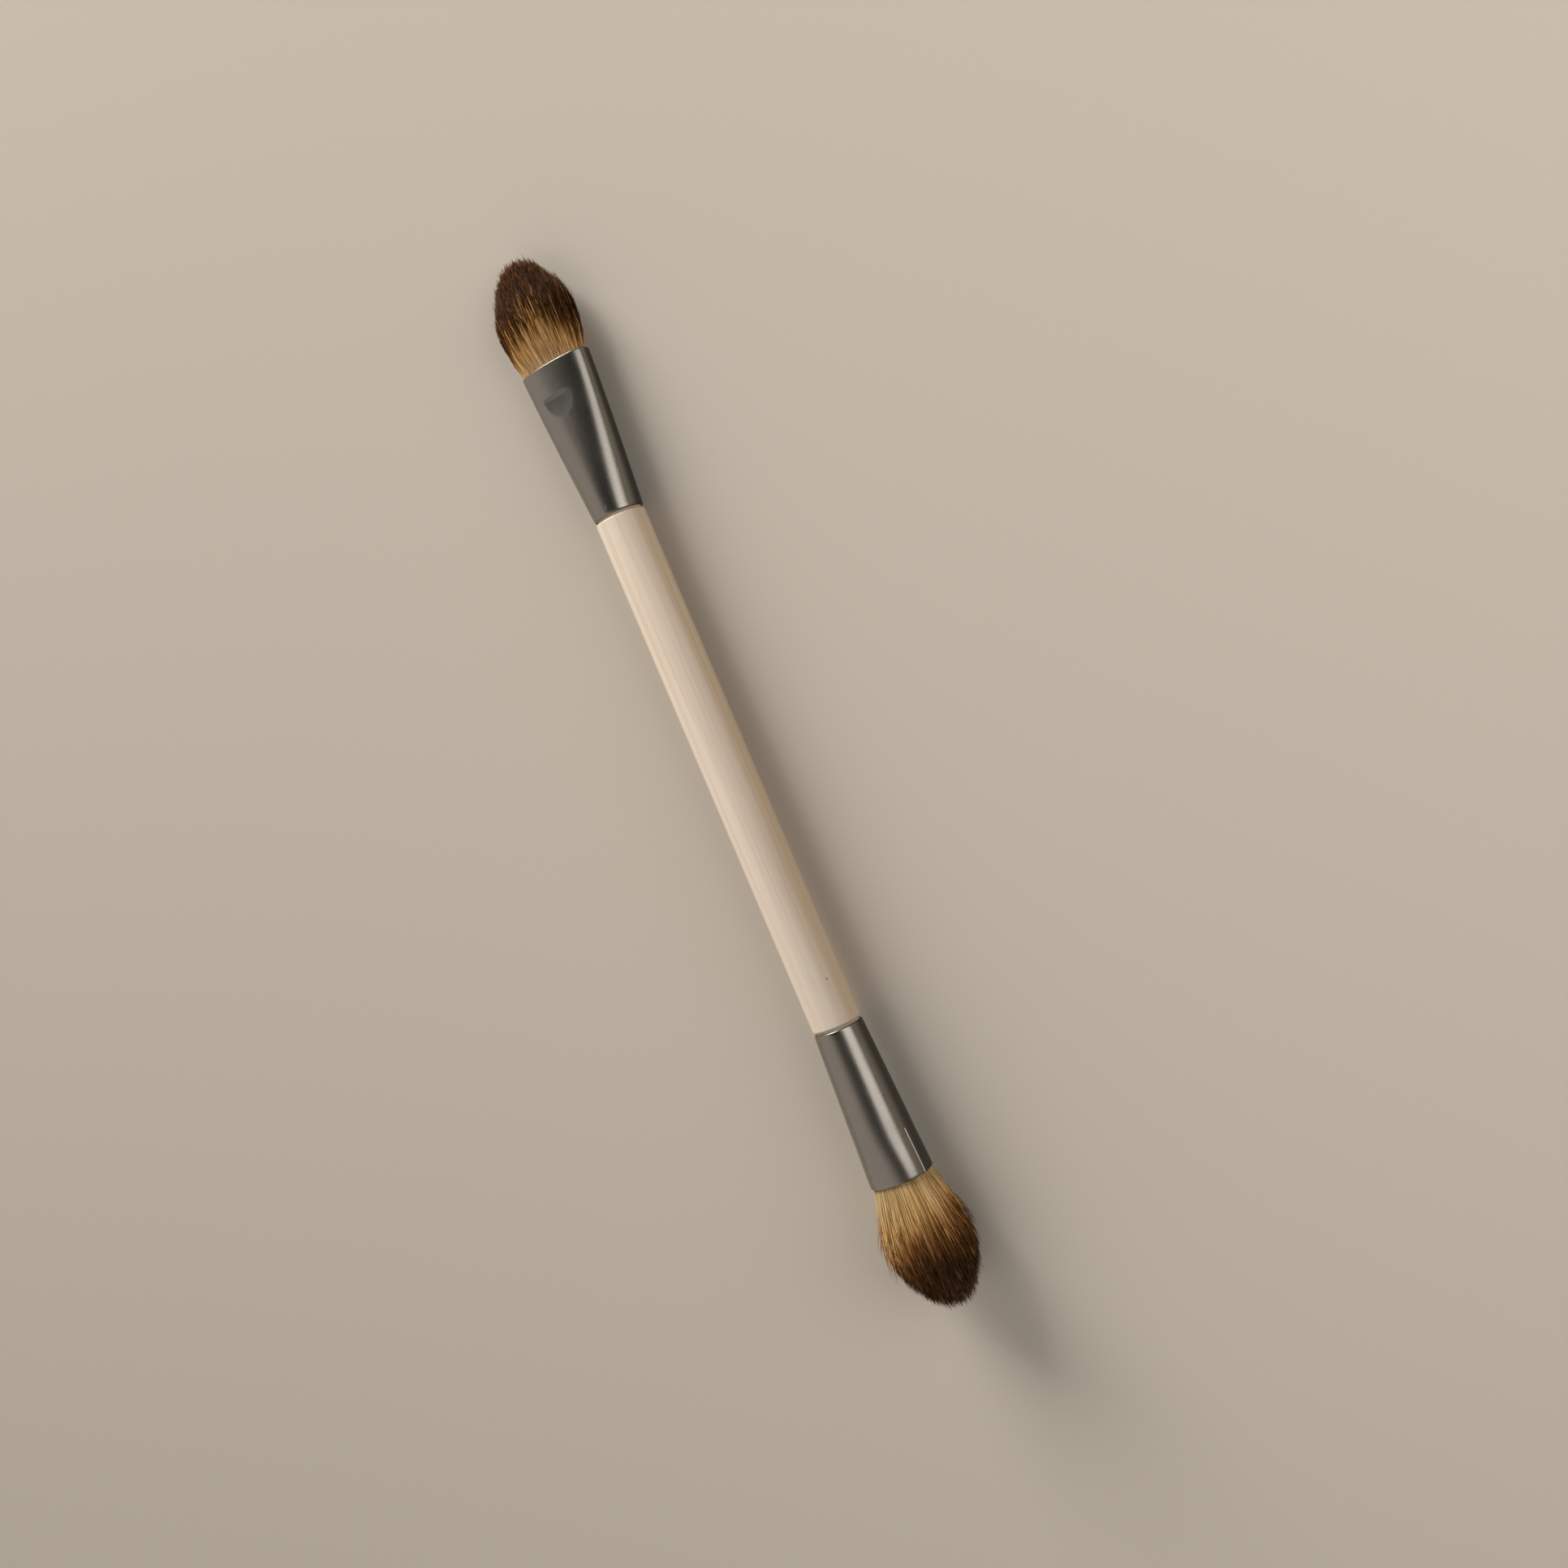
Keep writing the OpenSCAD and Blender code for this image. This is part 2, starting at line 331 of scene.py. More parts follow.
@dataclass(frozen=True)
class WoodFinish:
    """Pale unlacquered wood with long fine grain along the handle, and painted shade on its underside."""

    pale: Colour = colour(229, 213, 195)
    deep: Colour = colour(222, 204, 183)
    vein: Colour = colour(190, 164, 134)
    fleck: Colour = colour(152, 126, 100)
    # Painted shade: multiplied into the side that faces down, darker and warmer like light thrown up from
    # the table.
    under: Colour = (0.83, 0.76, 0.67, 1.0)
    drift: Grain = Grain((0.02, 0.25, 0.25))
    rings: Grain = Grain((0.012, 0.9, 0.45), 3.0, 0.6, (0.36, 0.66))
    lines: Grain = Grain((0.02, 2.0, 2.0), shows=(0.5, 0.72))
    fibre: Grain = Grain((0.06, 6.0, 6.0), 3.0, 0.65, (0.56, 0.74))
    pores: Grain = Grain((0.9, 9.0, 9.0), shows=(0.66, 0.78))
    cloud: Grain = Grain((0.1, 0.3, 0.3), 1.0, shows=(0.4, 0.6))
    ring_drift: float = 0.35
    line_share: float = 0.22
    fibre_share: float = 0.35
    pore_share: float = 0.5
    knot_size: float = 0.28
    knot_heart: float = 0.4
    knot_share: float = 0.8
    underside: Pair = (0.9, 0.3)
    pore_relief: float = 0.5
    relief: float = 0.35
    relief_depth: float = 0.02

    def material(self, lean: float, knot: Vector) -> Surface:
        """Builds the wood.

        Args:
            lean: How far the brush's axis tilts at rest, in radians.
            knot: Place of one small dark knot, in metres.

        Returns:
            The material.
        """
        made, graph, shader = new_surface("turned_wood", Roughness=0.62, Specular_IOR_Level=0.35)
        where = graph.place()
        sockets = {"Vector": where, "Rotation": (0, -lean, 0), "Scale": (1 / MM,) * 3}
        place = graph.wire("ShaderNodeMapping", {"vector_type": "POINT"}, sockets)
        grains = (self.drift, self.rings, self.lines, self.fibre, self.pores, self.cloud)
        drift, rings, lines, fibre, pores, cloud = (graph.noise(place, grain) for grain in grains)
        wavy = graph.band(rings + (drift - 0.5) * self.ring_drift, *self.rings.shows)
        body = graph.blend(wavy, self.pale, self.deep)
        body = graph.blend(graph.band(lines, *self.lines.shows) * self.line_share, body, self.vein)
        body = graph.blend(graph.band(fibre, *self.fibre.shows) * self.fibre_share, body, self.vein)
        porous = graph.band(pores, *self.pores.shows) * graph.band(cloud, *self.cloud.shows)
        body = graph.blend(porous * self.pore_share, body, self.fleck)
        size = self.knot_size * MM
        dark = graph.band(graph.vector("DISTANCE", where, knot, "Value"), size, size * self.knot_heart)
        body = graph.blend(dark * self.knot_share, body, self.fleck)
        # Painted shade on the side that faces down.
        below = graph.band(graph.attribute("upward"), *self.underside)
        body = graph.blend(below, body, self.under, "MULTIPLY")
        relief = graph.bump(fibre + pores * self.pore_relief, self.relief, self.relief_depth * MM)
        feed(graph, shader, Base_Color=body, Normal=relief)
        return made


@dataclass(frozen=True)
class MetalFinish:
    """Satin dark grey aluminium with a fine even grain, painted shade on its underside and in the dimple,
    and a painted highlight on the round ferrule's crease.
    """

    base: Colour = colour(136, 130, 121)
    worn: Colour = colour(150, 144, 135)
    # Near-white colour of the scratched lines and of the painted highlight along the round ferrule's
    # crease.
    scratch_and_highlight: Colour = colour(250, 248, 243)
    # Painted shade: a darker, cooler colour laid in the dimple, standing in for its darker reflection.
    pressed: Colour = colour(97, 100, 99)
    # Painted shade: darker colour laid on the flank that faces down, standing in for its dark reflection.
    under: Colour = colour(80, 80, 77)
    grain: Grain = Grain((7.0, 7.0, 7.0), 2.0, 0.6, (0.3, 0.75))
    drawn: Grain = Grain((0.35, 3.5, 3.5))
    haze: Grain = Grain((0.2, 0.45, 0.45))
    dent: Pair = (0.0, 0.04)
    dimple_shade_share: float = 0.6
    underside: Pair = (0.6, 0.1)
    rough: float = 0.29
    rough_grain: float = 0.12
    rough_haze: float = 0.08
    drawn_share: float = 0.4
    relief: float = 0.16
    relief_depth: float = 0.012

    def material(self, scratches_and_highlights: Sequence[Line]) -> Surface:
        """Builds the metal.

        Args:
            scratches_and_highlights: Both ends in metres and the reach to either side in millimetres, of
                each scratched line and painted highlight.

        Returns:
            The material.
        """
        made, graph, shader = new_surface("satin_metal", Metallic=1.0, Anisotropic=0.0)
        where = graph.place()
        place = graph.vector("MULTIPLY", where, (1 / MM,) * 3)
        grains = (self.grain, self.drawn, self.haze)
        grain, drawn, haze = (graph.noise(place, each) for each in grains)
        shade = graph.blend(graph.band(grain, *self.grain.shows), self.base, self.worn)
        # Painted shade in the dimple, by its depth.
        dimple_shade = graph.band(graph.attribute("dent"), *self.dent) * self.dimple_shade_share
        shade = graph.blend(dimple_shade, shade, self.pressed)
        # Painted shade on the flank that faces down.
        below = graph.band(graph.attribute("upward"), *self.underside)
        shade = graph.blend(below, shade, self.under)
        # Scratched lines, and a painted highlight along the crease of the round ferrule, in near-white.
        for start, end, reach in scratches_and_highlights:
            off_line = self._off_line(graph, where, start, end)
            shade = graph.blend(graph.band(off_line, reach * MM, reach * MM / 2), shade, self.scratch_and_highlight)
        rough = (grain - 0.5) * self.rough_grain + (haze - 0.5) * self.rough_haze + self.rough
        relief = graph.bump(grain + drawn * self.drawn_share, self.relief, self.relief_depth * MM)
        feed(graph, shader, Base_Color=shade, Roughness=rough, Normal=relief)
        return made

    @staticmethod
    def _off_line(graph: Graph, where: Wire, start: Vector, end: Vector) -> Wire:
        """Distance of a place from a straight line between two points.

        Args:
            graph: The metal's nodes.
            where: The place, in metres.
            start: One end of the line.
            end: Its other end.

        Returns:
            The distance, in metres.
        """
        way = end - start
        off = graph.vector("SUBTRACT", where, start)
        share = graph.vector("DOT_PRODUCT", off, way / way.length_squared, "Value")
        held = graph.wire("ShaderNodeClamp", None, {"Value": share})
        nearest = graph.wire("ShaderNodeVectorMath", {"operation": "SCALE"}, {0: way, "Scale": held})
        return graph.vector("DISTANCE", off, nearest, "Value")


@dataclass(frozen=True)
class HairFinish:
    """Hair whose colour runs from root to tip, with light and dark hairs side by side.

    Each stop has its share of the length, the colour of a light hair and the colour of a dark one.
    """

    name: str
    stops: tuple[tuple[float, Colour, Colour], ...]

    def material(self) -> Surface:
        """Builds the hair from each hair's own attributes: along, tone and dye.

        Returns:
            The material.
        """
        made, graph, shader = new_surface(self.name, Roughness=0.45, Specular_IOR_Level=0.05)
        along, tone, dye = (graph.attribute(name) for name in ("along", "tone", "dye"))
        place = along + dye
        light, dark = (graph.ramp(place, [(stop[0], stop[side]) for stop in self.stops]) for side in (1, 2))
        feed(graph, shader, Base_Color=graph.blend(tone, dark, light))
        return made


@dataclass(frozen=True)
class ResinFinish:
    """Clear amber glue that has set round the hair roots."""

    body: Colour = colour(196, 158, 96)
    cloudy: Colour = colour(222, 196, 146)
    swirl: Grain = Grain((0.4 / MM,) * 3, 3.0, shows=(0.35, 0.65))

    def material(self) -> Surface:
        """Builds the resin.

        Returns:
            The material.
        """
        made, graph, shader = new_surface("set_resin", Roughness=0.18, Coat_Weight=0.3)
        swirl = graph.band(graph.noise(graph.place(), self.swirl), *self.swirl.shows)
        feed(graph, shader, Base_Color=graph.blend(swirl, self.body, self.cloudy))
        return made


@dataclass(frozen=True)
class FloorFinish:
    """Plain matt table top."""

    shade: Colour = colour(202, 192, 178)
    dim: float = 0.97
    soft: Grain = Grain((0.6,) * 3, 1.0)

    def material(self) -> Surface:
        """Builds the table top.

        Returns:
            The material.
        """
        made, graph, shader = new_surface("table_top", Roughness=0.9, Specular_IOR_Level=0.2)
        dimmed = (*(v * self.dim for v in self.shade[:3]), 1.0)
        soft = graph.noise(graph.place(), self.soft)
        feed(graph, shader, Base_Color=graph.blend(soft, self.shade, dimmed))
        return made


def added(name: str, data: bpy.types.ID) -> Piece:
    """Adds an object to the scene.

    Args:
        name: The object's name.
        data: Its mesh, lamp or camera.

    Returns:
        The new object.
    """
    made = bpy.data.objects.new(name, data)
    bpy.context.scene.collection.objects.link(made)
    return made


def stood(piece: Piece, at: Vector, *axes: Vector) -> None:
    """Stands a lamp or the camera at a place, with its own three axes."""
    piece.matrix_world = Matrix.Translation(at) @ Matrix(axes).transposed().to_4x4()


def shown(name: str, mesh: Mesh, surface: Surface) -> Piece:
    """Puts a mesh in the scene as a smooth object at the origin.

    Args:
        name: The piece's name.
        mesh: Its mesh, already in its place.
        surface: Its material.

    Returns:
        The new object.
    """
    mesh.shade_smooth()
    mesh.materials.append(surface)
    return added(name, mesh)


def finished(bm: Shape, name: str, place: Matrix, surface: Surface) -> Piece:
    """Lays a modelled shape in the frame.

    Args:
        bm: The shape in millimetres, which is freed.
        name: The piece's name.
        place: Turns the shape's own millimetres into metres of the frame.
        surface: Its material.

    Returns:
        The new object.
    """
    bmesh.ops.transform(bm, matrix=place, verts=bm.verts)
    mesh = bpy.data.meshes.new(name)
    bm.to_mesh(mesh)
    bm.free()
    return shown(name, mesh, surface)


def stand_for(piece: Piece, node: str, slot: Slot) -> None:
    """Hides the node that a new piece stands in for, and attaches the piece to the frame's one body, the
    root.

    Args:
        piece: The piece.
        node: The node that it stands for.
        slot: Not used.
    """
    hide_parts(node)
    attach(piece, "root")


def note_upward(bm: Shape) -> None:
    """Keeps how far up each point faces, for the painted shade on the underside.

    Args:
        bm: The shape, whose faces point outwards.
    """
    upward = bm.verts.layers.float.new("upward")
    bm.normal_update()
    for vert in bm.verts:
        vert[upward] = vert.normal.z


def wrapped(
    rings: int,
    spokes: int,
    point: Callable[[int, float], Sequence[float]],
    closed: bool,
) -> Shape:
    """Wraps a flat grid round the brush's axis.

    Args:
        rings: How many rings the skin has.
        spokes: How many points each ring has.
        point: Gives a place from a ring's number and an angle.
        closed: Whether the last ring joins the first.

    Returns:
        The closed skin.
    """
    bm = bmesh.new()
    across = rings if closed else rings - 1
    bmesh.ops.create_grid(bm, x_segments=across, y_segments=spokes, size=0.5)
    for vert in bm.verts:
        ring = round((vert.co.x + 0.5) * across) % rings
        spoke = round((vert.co.y + 0.5) * spokes) % spokes
        vert.co = point(ring, spoke / spokes * FULL_TURN)
    bmesh.ops.remove_doubles(bm, verts=bm.verts, dist=1e-5)
    bmesh.ops.dissolve_degenerate(bm, edges=bm.edges, dist=1e-6)
    bmesh.ops.recalc_face_normals(bm, faces=bm.faces)
    return bm


# Scratched lines and the painted highlight along the round ferrule's crease are both drawn as these lines.
@dataclass(frozen=True)
class BrightLine:
    """A fine straight near-white line on a ferrule, between two places that are each a distance u and a
    turn.
    """

    start: Pair
    end: Pair
    reach: float = 0.06


@dataclass
class Ferrule:
    """A thin metal tube, round at the handle and pressed at its mouth."""

    name: str
    end_r: float
    scratches_and_highlights: tuple[BrightLine, ...]
    length: float = 27.4
    wall: float = 0.35
    rim_roll: float = 0.08
    rim_roll_l: float = 0.6
    rim_steps: int = 8
    fit_gap: float = 0.05
    spokes: int = 224

    @property
    def bore_inset(self) -> float:
        """Depth below the outside of what fits inside."""
        return self.wall + self.fit_gap

    def section(self, u: float) -> Section:
        """Half width, half thickness and squareness of the outside at a distance u."""
        raise NotImplementedError

    def shift(self, u: float, turn: float) -> Pair:
        """How far the ferrule's own mark moves its wall across the width and the thickness."""
        raise NotImplementedError

    def stations(self) -> list[float]:
        """Places of the rings along the outside."""
        raise NotImplementedError

    def dent(self, u: float, y: float) -> float:
        """Depth of a dimple below the outside, at a place along and across the upper side."""
        return 0.0

    def roll(self, u: float) -> float:
        """Loss of radius towards the rolled end."""
        return self.rim_roll * (1 - min(u / self.rim_roll_l, 1)) ** 2

    def wall_point(self, u: float, inset: float, turn: float) -> Pair:
        """Place of a point of the wall across the width and the thickness.

        Args:
            u: Distance from the handle end.
            inset: Depth below the outside.
            turn: Angle round the section, in radians.

        Returns:
            The place across the width and the thickness.
        """
        a, b, square = self.section(u)
        y, z = oval(a - inset, b - inset, square, turn)
        moved_y, moved_z = self.shift(u, turn)
        return float(y) + moved_y, float(z) + moved_z

    def scratch_and_highlight_lines(self, joint_x: float, place: Matrix) -> list[Line]:
        """Places of the scratched lines and of the painted highlight.

        Args:
            joint_x: Place of the handle end along the brush's axis.
            place: Turns the brush's own millimetres into metres of the frame.

        Returns:
            Both ends in metres and the reach to either side in millimetres, for each scratched line and
            painted highlight.
        """
        lines = []
        for bright_mark in self.scratches_and_highlights:
            marks = [(u, math.radians(turn)) for u, turn in (bright_mark.start, bright_mark.end)]
            ends = [place @ Vector((joint_x + u, *self.wall_point(u, 0.0, turn))) for u, turn in marks]
            lines.append((*ends, bright_mark.reach))
        return lines

    def wall_path(self) -> list[Pair]:
        """Follows the whole section of the wall.

        Returns:
            Distance along and depth below the outside, ring by ring.
        """
        half = self.wall / 2
        rim = [i * math.pi / self.rim_steps for i in range(1, self.rim_steps)]
        outside = [(u, 0.0) for u in self.stations()]
        mouth = [(self.length - half + half * math.sin(a), half - half * math.cos(a)) for a in rim]
        inside = [(u, self.wall) for u in reversed(self.stations()[::2])]
        heel = [(half - half * math.sin(a), half + half * math.cos(a)) for a in rim]
        return outside + mouth + inside + heel

    def build(self, joint_x: float, place: Matrix, surface: Surface) -> Piece:
        """Models the ferrule.

        Args:
            joint_x: Place of its handle end along the brush's axis.
            place: Turns the brush's own millimetres into metres of the frame.
            surface: Its material.

        Returns:
            The ferrule.
        """
        path = self.wall_path()

        def point(ring: int, turn: float) -> Section:
            """Place of one point of the wall."""
            u, inset = path[ring]
            return joint_x + u, *self.wall_point(u, inset, turn)

        shape = wrapped(len(path), self.spokes, point, closed=True)
        # The dimple's depth, kept for the painted shade in it.
        dent = shape.verts.layers.float.new("dent")
        for vert in shape.verts:
            vert[dent] = self.dent(vert.co.x - joint_x, vert.co.y) if vert.co.z > 0 else 0.0
        note_upward(shape)
        made = finished(shape, f"{self.name}_metal", place, surface)
        stand_for(made, self.name, Slot.METAL)
        return made


@dataclass
class FlatFerrule(Ferrule):
    """The ferrule that is pressed to a wide flat oval, with a half-moon dimple."""

    mouth_w: float = 13.2
    mouth_t: float = 6.2
    square: float = 2.5
    widen_power: float = 1.2
    dimple_l: float = 3.7
    dimple_back: float = 5.4
    dimple_depth: float = 0.24
    dimple_edge: float = 0.5
    dimple_blend: float = 0.04
    dimple_tilt: float = -0.028
    dimple_margin: float = 0.3

    def section(self, u: float) -> Section:
        """Section of the outside.

        Args:
            u: Distance from the handle end.

        Returns:
            Half width, half thickness and squareness.
        """
        t = min(max(u / self.length, 0.0), 1.0)
        press = ease(t)
        loss = self.roll(u)
        a = mix(self.end_r, self.mouth_w / 2, 1 - (1 - t) ** self.widen_power) - loss
        b = mix(self.end_r, self.mouth_t / 2, press) - loss
        return a, b, mix(2.0, self.square, press)

    def shift(self, u: float, turn: float) -> Pair:
        """How far the dimple moves the wall.

        Args:
            u: Distance from the handle end.
            turn: Angle round the section, in radians.

        Returns:
            The moves across the width and the thickness, which are none on the lower side.
        """
        if math.sin(turn) <= 0:
            return 0.0, 0.0
        return 0.0, -self.dent(u, float(oval(*self.section(u), turn)[0]))

    def dent(self, u: float, y: float) -> float:
        """Depth of the half-moon dimple that a nearly flat punch leaves.

        Args:
            u: Distance from the handle end.
            y: Place across the width.

        Returns:
            The depth below the outside.
        """
        back = self.length - self.dimple_back - u
        if back < -self.dimple_edge:
            return 0.0
        a, b, square = self.section(u)
        z = b * max(1 - abs(y / a) ** square, 0.0) ** (1 / square)
        edge_z = self.section(u + back)[1]
        heel_z = self.section(u + back - self.dimple_l)[1]
        way = back / self.dimple_l
        punch_z = mix(edge_z, heel_z, way) - self.dimple_depth * (1 - way * abs(way)) + self.dimple_tilt * y
        share = min(max(0.5 + (z - punch_z) / self.dimple_blend / 2, 0), 1)
        drop = (z - punch_z) * share + self.dimple_blend * share * (1 - share)
        return drop * float(ease(back / self.dimple_edge / 2 + 0.5))

    def stations(self) -> list[float]:
        """Places the rings along the outside, close together at the dimple.

        Returns:
            Their distances from the handle end.
        """
        half = self.wall / 2
        edge_u = self.length - self.dimple_back
        heel_u = edge_u - self.dimple_l - self.dimple_margin
        edge = (edge_u - self.dimple_edge, edge_u + self.dimple_edge)
        return runs((half, self.rim_roll_l, heel_u, *edge, self.length - half), (5, 26, 28, 9, 11))


@dataclass
class RoundFerrule(Ferrule):
    """The ferrule whose cone ends in a lightly pressed collar, with one fine crease along it."""

    mouth_w: float = 11.0
    mouth_t: float = 10.3
    square: float = 2.3
    collar_d: float = 10.5
    collar_l: float = 8.6
    collar_ease: float = 1.6
    collar_margin: float = 0.5
    crease_turn: float = 20.0
    crease_w: float = 0.32
    crease_h: float = 0.07
    crease_l: float = 8.2
    crease_ease: float = 1.5

    @property
    def cone_l(self) -> float:
        """Length of the cone, from the handle end to the collar."""
        return self.length - self.collar_l

    def section(self, u: float) -> Section:
        """Section of the outside, whose cone bends softly into the collar.

        Args:
            u: Distance from the handle end.

        Returns:
            Half width, half thickness and squareness.
        """
        collar_r = self.collar_d / 2
        beyond = u - self.cone_l
        bend = max(beyond + self.collar_ease, 0) ** 2 / (4 * self.collar_ease)
        past = bend if beyond < self.collar_ease else beyond
        cone_r = mix(self.end_r, collar_r, (u - past) / self.cone_l) - self.roll(u)
        grow = (self.mouth_w + self.mouth_t) / 4 - collar_r
        middle = cone_r + grow * max(beyond, 0) / self.collar_l
        press = ease(beyond / self.collar_l)
        oval_by = (self.mouth_w - self.mouth_t) / 4 * press
        return middle + oval_by, middle - oval_by, mix(2.0, self.square, press)

    def shift(self, u: float, turn: float) -> Pair:
        """How far the wall moves where the fine crease is raised along the collar.

        Args:
            u: Distance from the handle end.
            turn: Angle round the section, in radians.

        Returns:
            The moves across the width and the thickness.
        """
        away = (turn - math.radians(self.crease_turn) + math.pi) % FULL_TURN - math.pi
        beside = away * self.mouth_w / self.crease_w
        start = float(ease((u - self.length + self.crease_l) / self.crease_ease))
        rise = self.crease_h * math.exp(-beside * beside) * start
        return rise * math.cos(turn), rise * math.sin(turn)

    def stations(self) -> list[float]:
        """Places the rings along the outside, close together where the collar is pressed.

        Returns:
            Their distances from the handle end.
        """
        half = self.wall / 2
        collar = (self.cone_l - self.collar_margin, self.cone_l + self.collar_l / 3)
        return runs((half, self.rim_roll_l, *collar, self.length - half), (5, 20, 16, 16))


@dataclass(frozen=True)
class Growth:
    """How the hairs of a tuft grow: counts, millimetres, and shares of the tuft's radius or length."""

    hairs: int
    pieces: int
    clumps: int
    strays: int
    seed: int
    trim: float
    stray_push: Pair
    stray_reach: Pair = (0.9, 1.0)
    stray_tips: Pair = (0.36, 0.68)
    pull: float = 0.4
    pull_spread: Pair = (0.3, 1.3)
    scatter: float = 0.02
    uneven: float = 0.5
    clump_uneven: float = 0.6
    past_end: float = 0.5
    skin: float = 0.06
    skin_root: float = 0.15
    inner_l: float = 5.0
    tuck: float = 1.2
    wave: float = 0.09
    flare: Pair = (0.05, 0.12)
    hair_d: float = 0.108
    thick_spread: Pair = (0.75, 1.2)
    stages: tuple[float, ...] = (0.0, 0.36, 0.66, 0.88, 1.0)
    slimming: tuple[float, ...] = (1.0, 1.0, 1.0, 0.96, 0.8, 0.12)


@dataclass(frozen=True)
class Dye:
    """How the colour of the hairs varies over a tuft's section, across its width and up its thickness.

    The first five say how much earlier the dark colour starts: everywhere, towards one side, towards both
    sides, towards both faces and towards the upper face. The shift towards one side and the darker tone
    towards one side are painted shade, on the side away from the key lamp; the darker tone deeper in the
    tuft is painted shade too.
    """

    even: float
    across: float
    sides: float
    faces: float
    up: float
    # Painted shade: how much darker the hairs are towards either side, for across above and below zero.
    side_shade: Pair
    spread: float = 0.05
    clump_tone: float = 0.22
    contrast: float = 1.5
    # Painted shade: tone from the middle of the tuft to its outside, darker deeper in.
    depth_shade_tone: Pair = (0.64, 1.2)
    streaks: float = 0.055
    streak_shift: Pair = (0.03, 0.34)
    stray_shift: float = 0.85

    def draw(self, disc: Array, clump: Array, clumps: int, rng: Random) -> tuple[Array, Array]:
        """Draws the tone and the dye shift of each hair.

        Args:
            disc: Place of each hair in a disc of radius 1.
            clump: The clump of each hair.
            clumps: How many clumps there are.
            rng: The tuft's own seeded numbers.

        Returns:
            How light each hair is, from 0 to 1, and how much earlier its dark colour starts.
        """
        count = len(disc)
        across, up = disc[:, 0], disc[:, 1]
        reach = np.linalg.norm(disc, axis=1).clip(0, 1.0)
        tone = mix(rng.uniform(0, 1, count), rng.uniform(0, 1, clumps)[clump], self.clump_tone)
        # Painted shade: hairs deeper in the tuft are darker.
        tone = (ease(mix(0.5, tone, self.contrast)) * mix(*self.depth_shade_tone, reach**3)).clip(0, 1)
        # Painted shade: hairs towards the side away from the key lamp are darker.
        tone *= 1 - np.where(across > 0, *self.side_shade) * np.abs(across)
        dye = rng.normal(0, self.spread, count) + rng.normal(0, self.spread, clumps)[clump]
        streak = rng.uniform(0, 1, count) < self.streaks
        tone = np.where(streak, 1.0, tone)
        dye -= np.where(streak, rng.uniform(*self.streak_shift, count), 0)
        # The across term is painted shade: the dark colour starts earlier on the side away from the key
        # lamp.
        to_sides = self.even + self.across * across + self.sides * across**2
        dye += to_sides + self.faces * np.abs(up) + self.up * up
        return tone, dye


